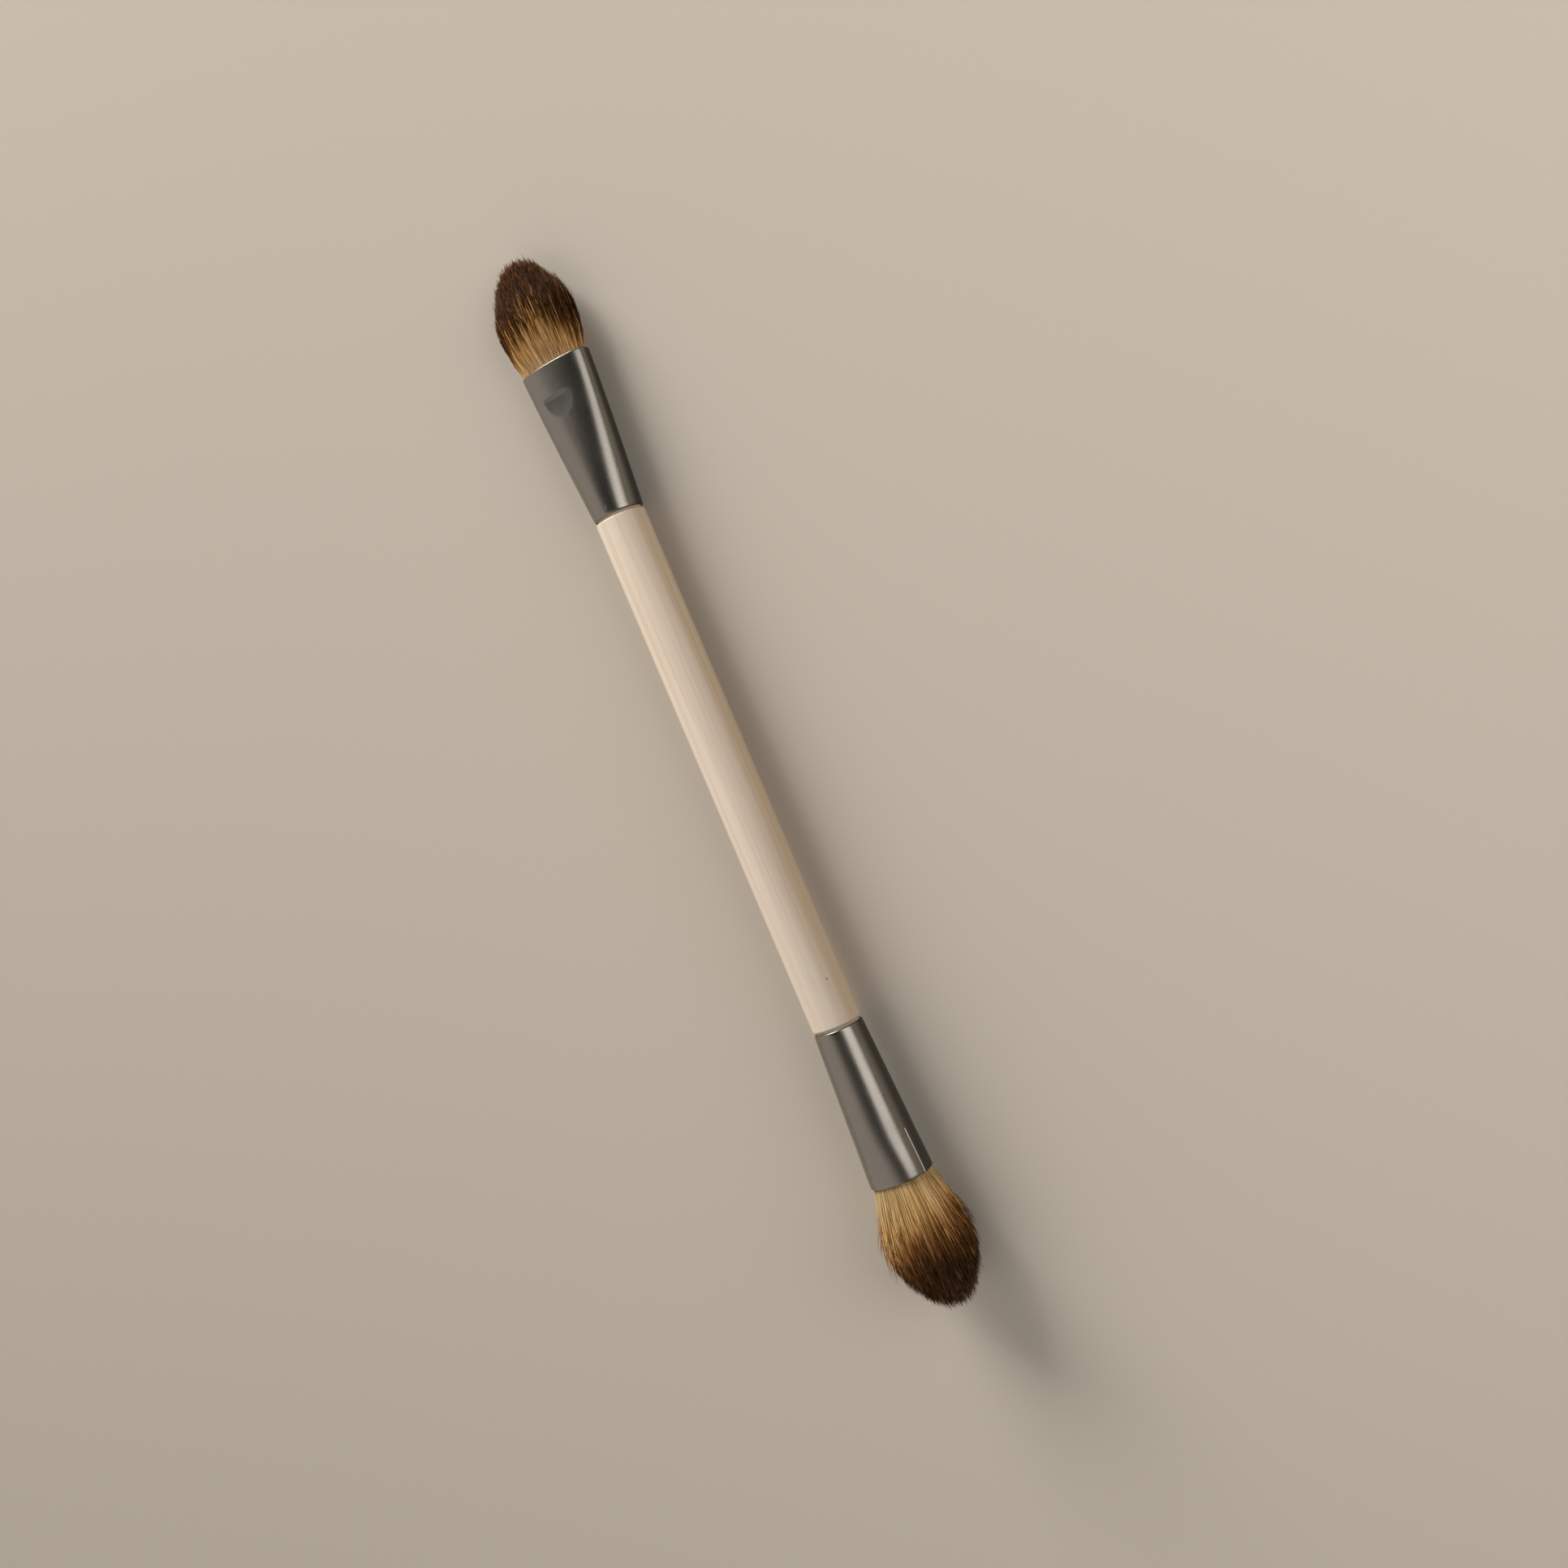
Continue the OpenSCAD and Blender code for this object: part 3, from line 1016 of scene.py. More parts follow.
@dataclass(frozen=True)
class Tuft:
    """A bound tuft: a solid heart and thousands of single hairs round it."""

    name: str
    slot: Slot
    ferrule: Ferrule
    growth: Growth
    dye: Dye
    length: float
    width: float
    thickness: float
    belly: float
    chisel: float
    dome_power: float
    sweep: float
    sweep_end: float = 1.1
    swell_power: float = 1.45
    root_l: float = 8.6
    curl_in: float = 0.12
    heart: float = 0.74
    heart_mouth: float = 0.98
    heart_ease: float = 3.0
    heart_short: float = 2.4
    heart_rings: int = 20
    heart_spokes: int = 64
    # Painted shade: the heart's dark tone makes the gaps between hairs look shaded.
    heart_shade_tone: float = 0.25

    def root(self, v: float = 0.0) -> Section:
        """Section of the roots.

        Args:
            v: Distance from the mouth, which is below zero inside the ferrule.

        Returns:
            Half width, half thickness and squareness.
        """
        metal = self.ferrule
        a, b, square = metal.section(metal.length + v)
        return a - metal.bore_inset, b - metal.bore_inset, square

    def outline(self, v: Array) -> tuple[Array, Array, Array, Array, Array]:
        """Form of the tuft.

        Args:
            v: Distances from the mouth.

        Returns:
            Half width and half thickness without the dome, the dome's share of each, and the squareness.
        """
        t = np.clip(v / self.belly, 0, 1)
        swell = 1 - (1 - t) ** self.swell_power
        far = np.clip((v - self.belly) / (self.length - self.belly), 0, 1)
        root_a, root_b, root_square = self.root()
        a = mix(root_a, self.width / 2, swell)
        b = mix(root_b, self.thickness / 2, swell)
        dome = (1 - far * far) ** self.dome_power
        edge = (1 - far * far) ** self.chisel
        return a, b, dome, edge, mix(root_square, 2.0, t)

    def drift(self, v: Array) -> Array:
        """How far the tuft is swept to one side."""
        return self.sweep * np.clip(v / self.length, 0, self.sweep_end) ** 3

    def build_heart(self, mouth_x: float, place: Matrix, surface: Surface) -> Piece:
        """Models the solid heart, which fills the ferrule and stays under the hairs.

        Args:
            mouth_x: Place of the ferrule's mouth along the brush's axis.
            place: Turns the brush's own millimetres into metres of the frame.
            surface: Its material.

        Returns:
            The heart.
        """
        metal = self.ferrule
        tip = self.length - self.heart_short
        quarter = [math.pi / 2 * i / self.heart_rings for i in range(self.heart_rings)]
        roots = [-self.root_l, *steps(-self.root_l, 0, 3)]
        stations = [*roots, *(tip * math.sin(a) for a in quarter), tip]
        last = len(stations) - 1

        def point(ring: int, turn: float) -> Section:
            """Place of one point of the heart.

            Args:
                ring: The ring's number.
                turn: Angle round the ring, in radians.

            Returns:
                The point, in the brush's own millimetres.
            """
            v = stations[ring]
            if ring in (0, last):
                return mouth_x + v, float(self.drift(v)), 0.0
            if v < 0:
                y, z = oval(*self.root(v), turn)
                return mouth_x + v, float(y), float(z) + min(metal.shift(metal.length + v, turn)[1], 0.0)
            share = mix(self.heart_mouth, self.heart, float(ease(v / self.heart_ease)))
            a, b, _, _, square = self.outline(np.array(v * self.length / tip))
            far = max(v - self.belly, 0) / (tip - self.belly)
            close = (1 - min(far, 1.0) ** 2) ** self.dome_power
            y, z = oval(a * share * close, b * share * close, square, turn)
            return mouth_x + v, float(y + self.drift(v)), float(z)

        shape = wrapped(len(stations), self.heart_spokes, point, closed=False)
        along, tone, _ = (shape.verts.layers.float.new(name) for name in ("along", "tone", "dye"))
        for vert in shape.verts:
            vert[along] = max(vert.co.x - mouth_x, 0) / self.length
            # Painted shade: the heart is darker than the hairs round it.
            vert[tone] = self.heart_shade_tone
        made = finished(shape, f"{self.name}_heart", place, surface)
        stand_for(made, self.name, self.slot)
        return made

    def grow(self, rng: Random) -> Hairs:
        """Works out the path of every hair.

        Args:
            rng: The tuft's own seeded numbers.

        Returns:
            Arrays of the hairs' points, half thicknesses, shares of the length, tones and dye shifts.
        """
        plan = self.growth
        count = plan.hairs
        loose = np.arange(count) < plan.strays
        inner_outer = np.where(loose, rng.uniform(*plan.stray_reach, count), rng.uniform(0.0, 1.0, count))
        reach = np.sqrt(inner_outer)
        turn = rng.uniform(0, FULL_TURN, count)
        start = np.stack([reach * np.cos(turn), reach * np.sin(turn)], 1)
        middle_reach = np.sqrt(rng.uniform(0, 1.0, plan.clumps))
        middle_turn = rng.uniform(0, FULL_TURN, plan.clumps)
        middles = np.stack([middle_reach * np.cos(middle_turn), middle_reach * np.sin(middle_turn)], 1)
        clump = np.argmin(((start[:, None, :] - middles[None, :, :]) ** 2).sum(2), 1)
        pull = plan.pull * rng.uniform(*plan.pull_spread, count)[:, None]
        end = start + (middles[clump] - start) * pull
        end += rng.normal(0, plan.scatter, (count, 2))
        tip_v = self._tips(end, loose, clump, rng)
        bare_v = np.where(reach > self.heart - plan.skin, plan.skin_root, tip_v - plan.inner_l)[:, None]
        v = np.concatenate([bare_v - plan.tuck, mix(bare_v, tip_v[:, None], np.array(plan.stages))], 1)
        bend = np.clip(v / self.length, 0, 1)[:, :, None] ** 2
        disc = start[:, None, :] + (end - start)[:, None, :] * bend
        push = rng.normal(0, plan.wave, (count, len(plan.slimming), 2))
        stray_flare = rng.uniform(*plan.stray_push, count)
        flare = np.where(loose, stray_flare, rng.normal(*plan.flare, count) * reach**4)
        outward = np.stack([np.cos(turn), np.sin(turn)], 1) * flare[:, None]
        share = np.clip(v / tip_v[:, None], 0, 1)
        push += outward[:, None, :] * share[:, :, None] ** 3
        push[:, :2] = 0
        grown = self._laid(v, disc, push, clump, rng)
        stray_dye = np.where(loose, self.dye.stray_shift - tip_v / self.length, 0)
        grown["dye"] += stray_dye[:, None] * share**3
        return grown

    def _tips(self, end: Array, loose: Array, clump: Array, rng: Random) -> Array:
        """Distance of each hair's tip from the mouth.

        Args:
            end: Place of each tip in a disc of radius 1.
            loose: Which hairs stray.
            clump: The clump of each hair.
            rng: The tuft's own seeded numbers.

        Returns:
            The distances.
        """
        plan = self.growth
        reach = np.linalg.norm(end, axis=1).clip(0, 1)
        turn = np.arctan2(end[:, 1], end[:, 0])
        dome = reach * (1 - self.curl_in) / (1 - reach * self.curl_in)
        power = mix(self.dome_power, self.chisel, np.sin(turn) ** 2)
        far = np.sqrt(1 - dome ** (1 / power))
        tips = self.belly + far * (self.length - self.belly)
        clump_uneven = rng.normal(0, plan.uneven, plan.clumps)[clump] * plan.clump_uneven
        tips += clump_uneven + rng.normal(0, plan.uneven, len(end))
        tips = np.minimum(tips - plan.trim, self.length + plan.past_end)
        return np.where(loose, rng.uniform(*plan.stray_tips, len(end)) * self.length, tips)

    def _laid(self, v: Array, disc: Array, push: Array, clump: Array, rng: Random) -> Hairs:
        """Lays the hairs within the tuft's form.

        Args:
            v: Distance of each ring from the mouth, one row a hair.
            disc: Place of each ring in a disc of radius 1.
            push: Small sideways moves, in millimetres.
            clump: The clump of each hair.
            rng: The tuft's own seeded numbers.

        Returns:
            The hairs' arrays, as grow() gives them.
        """
        plan = self.growth
        a, b, dome, edge, square = self.outline(v)
        reach = np.linalg.norm(disc, axis=2).clip(0, 1.0)
        turn = np.arctan2(disc[:, :, 1], disc[:, :, 0])
        hair_r = plan.hair_d / 2
        y, z = oval((a - hair_r) * reach, (b - hair_r) * reach, square, turn)
        y = y * (1 - self.curl_in * (1 - dome)) + push[:, :, 0] + self.drift(v)
        z = z * (1 - self.curl_in * (1 - edge)) + push[:, :, 1]
        thick = hair_r * rng.uniform(*plan.thick_spread, len(v))[:, None] * np.array(plan.slimming)
        tone, dye = self.dye.draw(disc[:, 0], clump, plan.clumps, rng)
        return {
            "points": np.stack([v, y, z], 2),
            "thick": thick,
            "along": np.clip(v / self.length, 0, 1),
            "tone": np.repeat(tone[:, None], v.shape[1], 1),
            "dye": np.repeat(dye[:, None], v.shape[1], 1),
        }

    def build_hairs(self, mouth_x: float, place: Matrix, surface: Surface) -> list[Piece]:
        """Models the hairs as a few pieces, from the lowest layer to the highest.

        Args:
            mouth_x: Place of the ferrule's mouth along the brush's axis.
            place: Turns the brush's own millimetres into metres of the frame.
            surface: Their material.

        Returns:
            The pieces.
        """
        grown = self.grow(np.random.default_rng(self.growth.seed))
        grown["points"][:, :, 0] += mouth_x
        spin = np.array(place.to_3x3())
        height = grown["points"] @ spin[2] + place.translation[2]
        grown["points"][:, :, 2] += np.maximum(grown["thick"] * MM - height, 0) / spin[2][2]
        layers = np.array_split(np.argsort(grown["points"][:, -1, 2]), self.growth.pieces)
        strands = Strands(len(self.growth.slimming))
        made = []
        for number, rows in enumerate(layers, 1):
            part = {key: values[rows] for key, values in grown.items()}
            made.append(strands.build(f"{self.name}_strands_{number}", part, place, surface))
            stand_for(made[-1], self.name, self.slot)
        return made


@dataclass(frozen=True)
class Strands:
    """Repeats one three-sided hair along many paths."""

    rings: int
    sides: int = 3
    twist_step: float = 2.4
    map_margin: float = 0.15
    map_cap: float = 0.04

    def pattern(self) -> Shape:
        """Models one straight hair of unit size.

        Returns:
            The hair, whose height gives the ring and whose angle gives the side.
        """
        bm = bmesh.new()
        bmesh.ops.create_cone(
            bm, cap_ends=True, cap_tris=False, segments=self.sides, radius1=1, radius2=1, depth=1
        )
        upright = [e for e in bm.edges if abs(e.verts[0].co.z - e.verts[1].co.z) > 0.5]
        bmesh.ops.subdivide_edges(bm, edges=upright, cuts=self.rings - 2, use_grid_fill=True)
        return bm

    def build(self, name: str, grown: Hairs, place: Matrix, surface: Surface) -> Piece:
        """Makes one object of many hairs.

        Args:
            name: The piece's name.
            grown: The hairs' arrays, as Tuft.grow gives them.
            place: Turns the brush's own millimetres into metres of the frame.
            surface: Their material.

        Returns:
            The piece.
        """
        pattern = self.pattern()
        places = np.array([v.co for v in pattern.verts])
        faces = [[v.index for v in f.verts] for f in pattern.faces]
        pattern.free()
        ring = np.rint((places[:, 2] + 0.5) * (self.rings - 1)).astype(int)
        angle = np.arctan2(places[:, 1], places[:, 0])
        points = self._skin(grown, ring, angle)
        turned = points @ np.array(place.to_3x3()).T + np.array(place.translation)
        starts = (np.arange(len(points)) * len(places)).tolist()
        mesh = bpy.data.meshes.new(name)
        mesh.from_pydata(
            turned.reshape(-1, 3).tolist(), [], [[i + start for i in f] for start in starts for f in faces]
        )
        for key in ("along", "tone", "dye"):
            values = grown[key][:, ring].astype(np.float32).ravel()
            mesh.attributes.new(key, "FLOAT", "POINT").data.foreach_set("value", values)
        self._unfold(mesh, self._cell(faces, ring, angle), len(points))
        return shown(name, mesh, surface)

    def _skin(self, grown: Hairs, ring: Array, angle: Array) -> Array:
        """Places of every hair's points.

        Args:
            grown: The hairs' arrays.
            ring: Ring of each point of the pattern.
            angle: Angle of each point of the pattern.

        Returns:
            One row of places for each hair.
        """
        paths = grown["points"]
        along = paths[:, -1] - paths[:, 0]
        along /= np.linalg.norm(along, axis=1)[:, None]
        first = np.cross(along, [0.0, 0.0, 1.0])
        first /= np.linalg.norm(first, axis=1)[:, None]
        second = np.cross(along, first)
        twist = angle[None, :] + (np.arange(len(paths)) * self.twist_step)[:, None]
        radius = grown["thick"][:, ring]
        offset = (radius * np.cos(twist))[:, :, None] * first[:, None, :]
        offset += (radius * np.sin(twist))[:, :, None] * second[:, None, :]
        return paths[:, ring] + offset

    def _cell(self, faces: list[list[int]], ring: Array, angle: Array) -> Array:
        """Lays the pattern's faces flat in one cell of the map, side by side, with its two ends as slivers.

        Args:
            faces: The pattern's faces.
            ring: Ring of each point of the pattern.
            angle: Angle of each point of the pattern.

        Returns:
            A place from 0 to 1 for each corner of each face.
        """
        side = np.rint(angle / FULL_TURN * self.sides).astype(int) % self.sides
        corners = []
        for face in faces:
            is_end = len(face) == self.sides
            wraps = not is_end and {0, self.sides - 1} <= {int(side[i]) for i in face}
            for i in face:
                across = side[i] + (self.sides if wraps and side[i] == 0 else 0)
                lift = self.map_cap * (0.5 - ring[i]) if is_end and side[i] == 1 else 0.0
                corners.append((across / self.sides, ring[i] / (self.rings - 1) + lift))
        return np.array(corners) * (1 - 2 * self.map_margin) + self.map_margin

    def _unfold(self, mesh: Mesh, cell: Array, count: int) -> None:
        """Gives each hair a cell of its own on one flat map.

        Args:
            mesh: The hairs' mesh.
            cell: Places of one hair's corners within its cell.
            count: How many hairs there are.
        """
        wide = math.ceil(math.sqrt(count))
        number = np.arange(count)
        low = np.stack([number % wide, number // wide], 1)
        unfolded = (low[:, None, :] + cell[None, :, :]) / wide
        layer = mesh.uv_layers.new(name="OFBake", do_init=False)
        layer.uv.foreach_set("vector", unfolded.astype(np.float32).ravel())


@dataclass(frozen=True)
class TurnedHandle:
    """The turned wooden handle with a reduced tenon at each end."""

    length: float = 92.7
    flat_d: float = 8.72
    round_d: float = 8.62
    shoulder_r: float = 0.35
    shoulder_steps: int = 8
    tenon_chamfer: float = 0.6
    tenon_gap: float = 1.8
    joint_gap: float = 0.4
    facets: int = 160

    def outline(self, flat_end: BrushEnd, round_end: BrushEnd) -> list[Pair]:
        """Distance along the axis and radius, from the round tuft's tenon to the flat tuft's."""
        near = [(-x, r) for x, r in self._shoulder(self.round_d / 2, round_end)]
        return near[::-1] + self._shoulder(self.flat_d / 2, flat_end)

    def _shoulder(self, wood_r: float, end: BrushEnd) -> list[Pair]:
        """One shoulder and its tenon, from the wood outwards.

        Args:
            wood_r: Radius of the wood at the shoulder.
            end: The end of the brush that the tenon carries.

        Returns:
            Points of the outline.
        """
        metal = end.ferrule
        tenon_l = metal.length - end.tuft.root_l - end.resin_l - self.tenon_gap
        tenon_r = metal.end_r - metal.rim_roll - metal.bore_inset
        tip_r = min(tenon_r, metal.section(tenon_l)[1] - metal.bore_inset)
        end_x = end.joint_x + tenon_l
        shoulder_x = end.joint_x - self.joint_gap
        quarter = [i * math.pi / 2 / self.shoulder_steps for i in range(self.shoulder_steps + 1)]
        edge_r = self.shoulder_r
        falls = [(edge_r * (1 - math.sin(a)), edge_r * (1 - math.cos(a))) for a in quarter]
        return [
            *((shoulder_x - back, wood_r - fall) for back, fall in falls),
            (shoulder_x, tenon_r),
            (end.joint_x, tenon_r),
            (end_x - self.tenon_chamfer, tip_r),
            (end_x, tip_r - self.tenon_chamfer),
            (end_x, 0.0),
        ]

    def build(self, flat_end: BrushEnd, round_end: BrushEnd, place: Matrix, surface: Surface) -> Piece:
        """Turns the handle.

        Args:
            flat_end: The end that the flat tuft is on.
            round_end: The end that the round tuft is on.
            place: Turns the brush's own millimetres into metres of the frame.
            surface: Its material.

        Returns:
            The handle.
        """
        outline = self.outline(flat_end, round_end)

        def point(ring: int, turn: float) -> Section:
            """Place of one point of the wood."""
            x, r = outline[ring]
            return x, r * math.sin(turn), r * math.cos(turn)

        shape = wrapped(len(outline), self.facets, point, closed=False)
        note_upward(shape)
        made = finished(shape, "handle_wood", place, surface)
        stand_for(made, "handle", Slot.WOOD)
        return made


@dataclass
class BrushEnd:
    """One end of the brush: a tuft, its ferrule and the resin between the tuft and the tenon."""

    tuft: Tuft
    facing: Facing
    resin_l: float = 5.0
    joint_x: float = 0.0

    @property
    def ferrule(self) -> Ferrule:
        """The ferrule that holds the tuft."""
        return self.tuft.ferrule

    @property
    def reach(self) -> float:
        """Length from the joint to the tip."""
        return self.ferrule.length + self.tuft.length

    @property
    def touch_x(self) -> float:
        """Where the tuft touches the table, from the middle of the brush."""
        return self.joint_x + self.ferrule.length + self.tuft.belly

    def place(self, lying: Matrix) -> Matrix:
        """Lays this end's own millimetres in the frame."""
        return lying @ Matrix.Rotation(self.facing.value, 4, "Z")

    def scratch_and_highlight_lines(self, lying: Matrix) -> list[Line]:
        """Both ends in metres and the reach in millimetres of each scratched line and painted highlight on
        the ferrule.
        """
        return self.ferrule.scratch_and_highlight_lines(self.joint_x, self.place(lying))

    def build(self, lying: Matrix, metal: Surface, hair: Surface) -> list[Piece]:
        """Builds the ferrule and the tuft.

        Args:
            lying: Lays the brush's own millimetres in the frame.
            metal: The ferrule's material.
            hair: The tuft's material.

        Returns:
            The pieces of this end.
        """
        place = self.place(lying)
        mouth_x = self.joint_x + self.ferrule.length
        return [
            self.ferrule.build(self.joint_x, place, metal),
            self.tuft.build_heart(mouth_x, place, hair),
            *self.tuft.build_hairs(mouth_x, place, hair),
        ]


@dataclass
class Brush:
    """The whole brush, lying at rest on the undersides of its two tufts."""

    handle: TurnedHandle
    flat_end: BrushEnd
    round_end: BrushEnd
    knot_x: float = -36.0
    knot_turn: float = 46.12
    resin_plugs: tuple[str, ...] = ("flat_resin_plug", "round_resin_plug")

    def __post_init__(self) -> None:
        """Places both ends along the brush's axis."""
        span = self.handle.length + 2 * self.handle.joint_gap + self.flat_end.reach + self.round_end.reach
        for end in (self.flat_end, self.round_end):
            end.joint_x = span / 2 - end.reach

    @property
    def lean(self) -> float:
        """The steepest lean at which the flat end's tuft and ferrule both clear the table.

        Returns:
            The lean, in radians.
        """
        flat, high = self.flat_end, self.round_end.tuft.thickness / 2
        supports = [(flat.touch_x, flat.tuft.thickness / 2), (flat.joint_x, flat.ferrule.end_r)]
        return math.atan(min((high - low) / (x + self.round_end.touch_x) for x, low in supports))

    @property
    def axis_height(self) -> float:
        """Height of the axis above the table at the middle of the brush."""
        high = self.round_end.tuft.thickness / 2
        return (high - self.round_end.touch_x * math.tan(self.lean)) * math.cos(self.lean)

    def lying(self) -> Matrix:
        """Turns the brush's own millimetres into metres of the frame."""
        lift = Matrix.Translation((0, 0, self.axis_height))
        return Matrix.Scale(MM, 4) @ lift @ Matrix.Rotation(self.lean, 4, "Y")

    def build(self) -> list[Piece]:
        """Builds every piece and dresses the resin plugs.

        Returns:
            The pieces.
        """
        lying = self.lying()
        radius, turn = self.handle.flat_d / 2, math.radians(self.knot_turn)
        knot = lying @ Vector((self.knot_x, -radius * math.sin(turn), radius * math.cos(turn)))
        wood = WoodFinish().material(self.lean, knot)
        metal = MetalFinish().material(
            self.flat_end.scratch_and_highlight_lines(lying) + self.round_end.scratch_and_highlight_lines(lying)
        )
        resin = ResinFinish().material()
        made = [self.handle.build(self.flat_end, self.round_end, lying, wood)]
        made += self.flat_end.build(lying, metal, BROWN_HAIR.material())
        made += self.round_end.build(lying, metal, GOLDEN_HAIR.material())
        for name in self.resin_plugs:
            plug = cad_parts[name]
            plug.data.materials.clear()
            plug.data.materials.append(resin)
            made.append(plug)
        return made


BROWN_HAIR = HairFinish(
    name="brown_tuft_hair",
    stops=(
        (0.0, colour(240, 208, 160), colour(160, 118, 72)),
        (0.2, colour(246, 204, 140), colour(206, 154, 92)),
        (0.34, colour(206, 150, 82), colour(92, 54, 22)),
        (0.47, colour(122, 76, 36), colour(36, 20, 9)),
        (0.62, colour(80, 48, 22), colour(23, 13, 6)),
        (1.0, colour(134, 88, 48), colour(34, 21, 10)),
    ),
)

GOLDEN_HAIR = HairFinish(
    name="golden_tuft_hair",
    stops=(
        (0.0, colour(230, 204, 158), colour(186, 152, 104)),
        (0.34, colour(240, 202, 136), colour(176, 130, 76)),
        (0.5, colour(212, 150, 84), colour(116, 70, 32)),
        (0.66, colour(134, 88, 50), colour(42, 24, 13)),
        (0.85, colour(110, 74, 46), colour(17, 10, 6)),
        (1.0, colour(160, 118, 82), colour(26, 16, 10)),
    ),
)


def make_brush() -> Brush:
    """Puts the sizes of the real brush together.

    Returns:
        The brush, not yet built.
    """
    step = 0.04
    handle = TurnedHandle()
    flat_scratches = (
        BrightLine((22.4, 25), (23.8, 28)),
        BrightLine((20.6, 29), (21.6, 31)),
        BrightLine((1.0, 94), (1.6, 97)),
    )
    flat_tuft = Tuft(
        "flat_hair",
        Slot.BROWN_HAIR,
        FlatFerrule("flat_ferrule", handle.flat_d / 2 + step, flat_scratches),
        Growth(hairs=8200, pieces=2, clumps=800, strays=70, seed=11, trim=0.35, stray_push=(0.3, 0.8)),
        # Dye across and the side tones paint shade on the side away from the key lamp.
        Dye(even=0.035, across=-0.02, sides=0.22, faces=-0.06, up=0.0, side_shade=(0.14, 0.32)),
        length=18.6,
        width=15.3,
        thickness=8.0,
        belly=7.5,
        chisel=0.88,
        dome_power=0.64,
        sweep=0.25,
    )
    # Painted highlight: a near-white line along the crease of the round ferrule's collar.
    round_crease_highlight = (BrightLine((19.4, 20), (27.2, 20), 0.14),)
    round_tuft = Tuft(
        "round_hair",
        Slot.GOLDEN_HAIR,
        RoundFerrule("round_ferrule", handle.round_d / 2 + step, round_crease_highlight, spokes=288),
        Growth(
            hairs=14000,
            pieces=3,
            clumps=1600,
            strays=220,
            seed=29,
            trim=1.1,
            stray_push=(0.3, 1.5),
            pull=0.3,
            uneven=0.76,
        ),
        # Dye across and the side tones paint shade on the side away from the key lamp.
        Dye(even=0.01, across=0.145, sides=-0.045, faces=0.0, up=0.05, side_shade=(0.3, 0.0)),
        length=23.1,
        width=15.4,
        thickness=15.0,
        belly=12.0,
        chisel=0.6,
        dome_power=0.6,
        sweep=0.9,
    )
    return Brush(handle, BrushEnd(flat_tuft, Facing.FORWARD), BrushEnd(round_tuft, Facing.BACKWARD))


def way_to(polar: float, along: float) -> Vector:
    """Unit direction, in degrees: polar from the horizon at -Y up and over to +Y, along towards +X."""
    polar, along = math.radians(polar), math.radians(along)
    return Vector((math.sin(along), -math.cos(polar) * math.cos(along), math.sin(polar) * math.cos(along)))


@dataclass(frozen=True)
class Lamp:
    """A soft rectangular lamp that faces the brush, placed by angles round the brush's axis."""

    name: str
    polar: float
    along: float
    distance: float
    size: Pair
    watts: float
    tint: tuple[float, float, float] = (0.99, 0.99, 0.98)

    def build(self) -> None:
        """Hangs the lamp."""
        data = bpy.data.lights.new(self.name, "AREA")
        data.shape = "RECTANGLE"
        data.size, data.size_y = self.size
        data.energy = self.watts
        data.color = self.tint
        way = way_to(self.polar, self.along)
        sideways = Vector((1, 0, 0)).cross(way).normalized()
        stood(added(self.name, data), way * self.distance, sideways.cross(way), sideways, way)


LAMPS = (
    Lamp("key", polar=130, along=67, distance=1.5, size=(0.8, 0.8), watts=31.0, tint=(1.0, 0.985, 0.965)),
    Lamp("upper_window", polar=38, along=20, distance=0.6, size=(0.28, 0.36), watts=0.5),
    Lamp("lower_window", polar=32, along=-4.5, distance=0.6, size=(0.32, 0.42), watts=0.9),
)


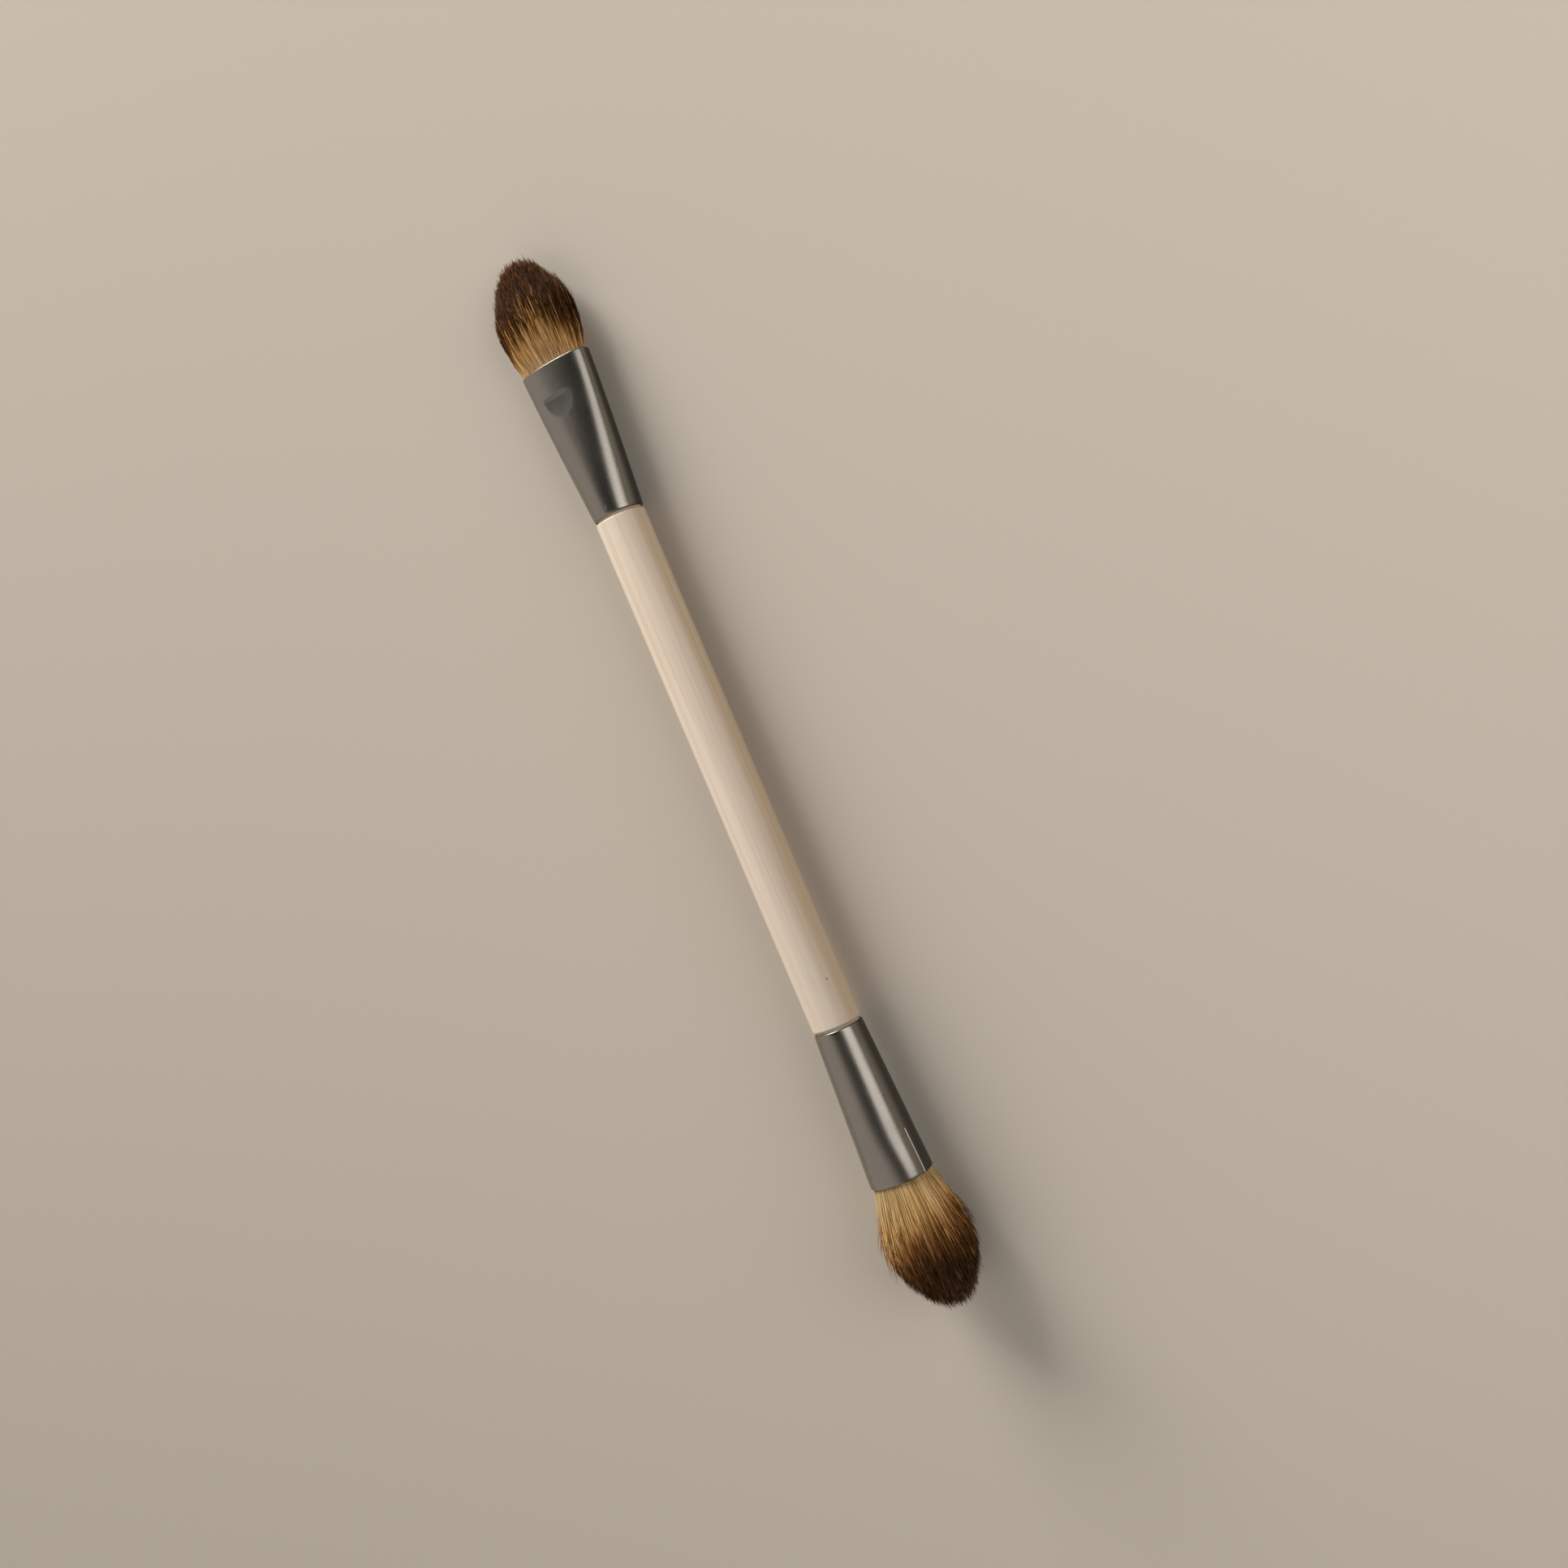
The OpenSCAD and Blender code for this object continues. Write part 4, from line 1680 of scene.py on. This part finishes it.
@dataclass(frozen=True)
class Studio:
    """Plain pale table, soft lamps, a dim sky and the camera."""

    lens: float = 41.0
    distance: float = 300.0
    turn: float = 26.0
    roll: float = 23.12
    aim_x: float = -3.5
    aim_side: float = 7.65
    nearest: float = 0.01
    floor_size: float = 6.0
    room_sides: Pair = (-0.45, 0.42)
    open_side: Colour = (0.67, 0.632, 0.60, 1.0)
    wall_side: Colour = (0.07, 0.06, 0.05, 1.0)
    dim_way: Pair = (84.0, 30.0)
    dim_nearness: Pair = (0.72, 0.9)
    dim: Colour = (0.02, 0.021, 0.023, 1.0)

    def build(self, brush: Brush) -> None:
        """Sets up everything round the brush.

        Args:
            brush: The brush, for its lie on the table.
        """
        self._floor()
        self._sky()
        for lamp in LAMPS:
            lamp.build()
        self._camera(brush.lying())

    def _floor(self) -> None:
        """Lays the table top just under the brush."""
        bm = bmesh.new()
        bmesh.ops.create_grid(bm, x_segments=2, y_segments=2, size=self.floor_size / 2)
        finished(bm, "table", Matrix.Identity(4), FloorFinish().material())

    def _sky(self) -> None:
        """Lights the room softly, open on one side and dim high up so that the metal keeps its contrast."""
        world = bpy.data.worlds.new("studio")
        bpy.context.scene.world = world
        world.use_nodes = True
        graph = Graph(world.node_tree)
        way = graph.place()
        side = graph.band(graph.wire("ShaderNodeSeparateXYZ", None, {0: way}, "Y"), *self.room_sides)
        room = graph.blend(side, self.wall_side, self.open_side)
        nearness = graph.vector("DOT_PRODUCT", way, way_to(*self.dim_way), "Value")
        shade = graph.blend(graph.band(nearness, *self.dim_nearness), room, self.dim)
        light = graph.wire("ShaderNodeBackground", None, {"Color": shade, "Strength": 1.0})
        graph.node("ShaderNodeOutputWorld", None, {"Surface": light})

    def _camera(self, lying: Matrix) -> None:
        """Stands the camera at the viewing angle of the photograph.

        Args:
            lying: Lays the brush's own millimetres in the frame.
        """
        turn, roll = math.radians(self.turn), math.radians(self.roll)
        axis = Vector((1, 0, 0))
        back = Vector((0, -math.sin(turn), math.cos(turn)))
        side = Vector((0, -math.cos(turn), -math.sin(turn)))
        eye = lying @ (axis * self.aim_x + side * self.aim_side + back * self.distance)
        right = side * math.cos(roll) - axis * math.sin(roll)
        up = side * math.sin(roll) + axis * math.cos(roll)
        spin = lying.to_3x3().normalized()
        data = bpy.data.cameras.new("camera")
        data.lens = self.lens
        data.clip_start = self.nearest
        camera = added("camera", data)
        stood(camera, eye, spin @ right, spin @ up, spin @ back)
        bpy.context.scene.camera = camera


def main() -> None:
    """Builds the studio and the brush."""
    logging.basicConfig(level=logging.INFO, format="%(name)s: %(message)s")
    brush = make_brush()
    Studio().build(brush)
    for piece in brush.build():
        LOG.info("%s: %d faces", piece.name, len(piece.data.polygons))
    bpy.context.scene.view_settings.view_transform = "Standard"


if __name__ == "__main__":
    main()
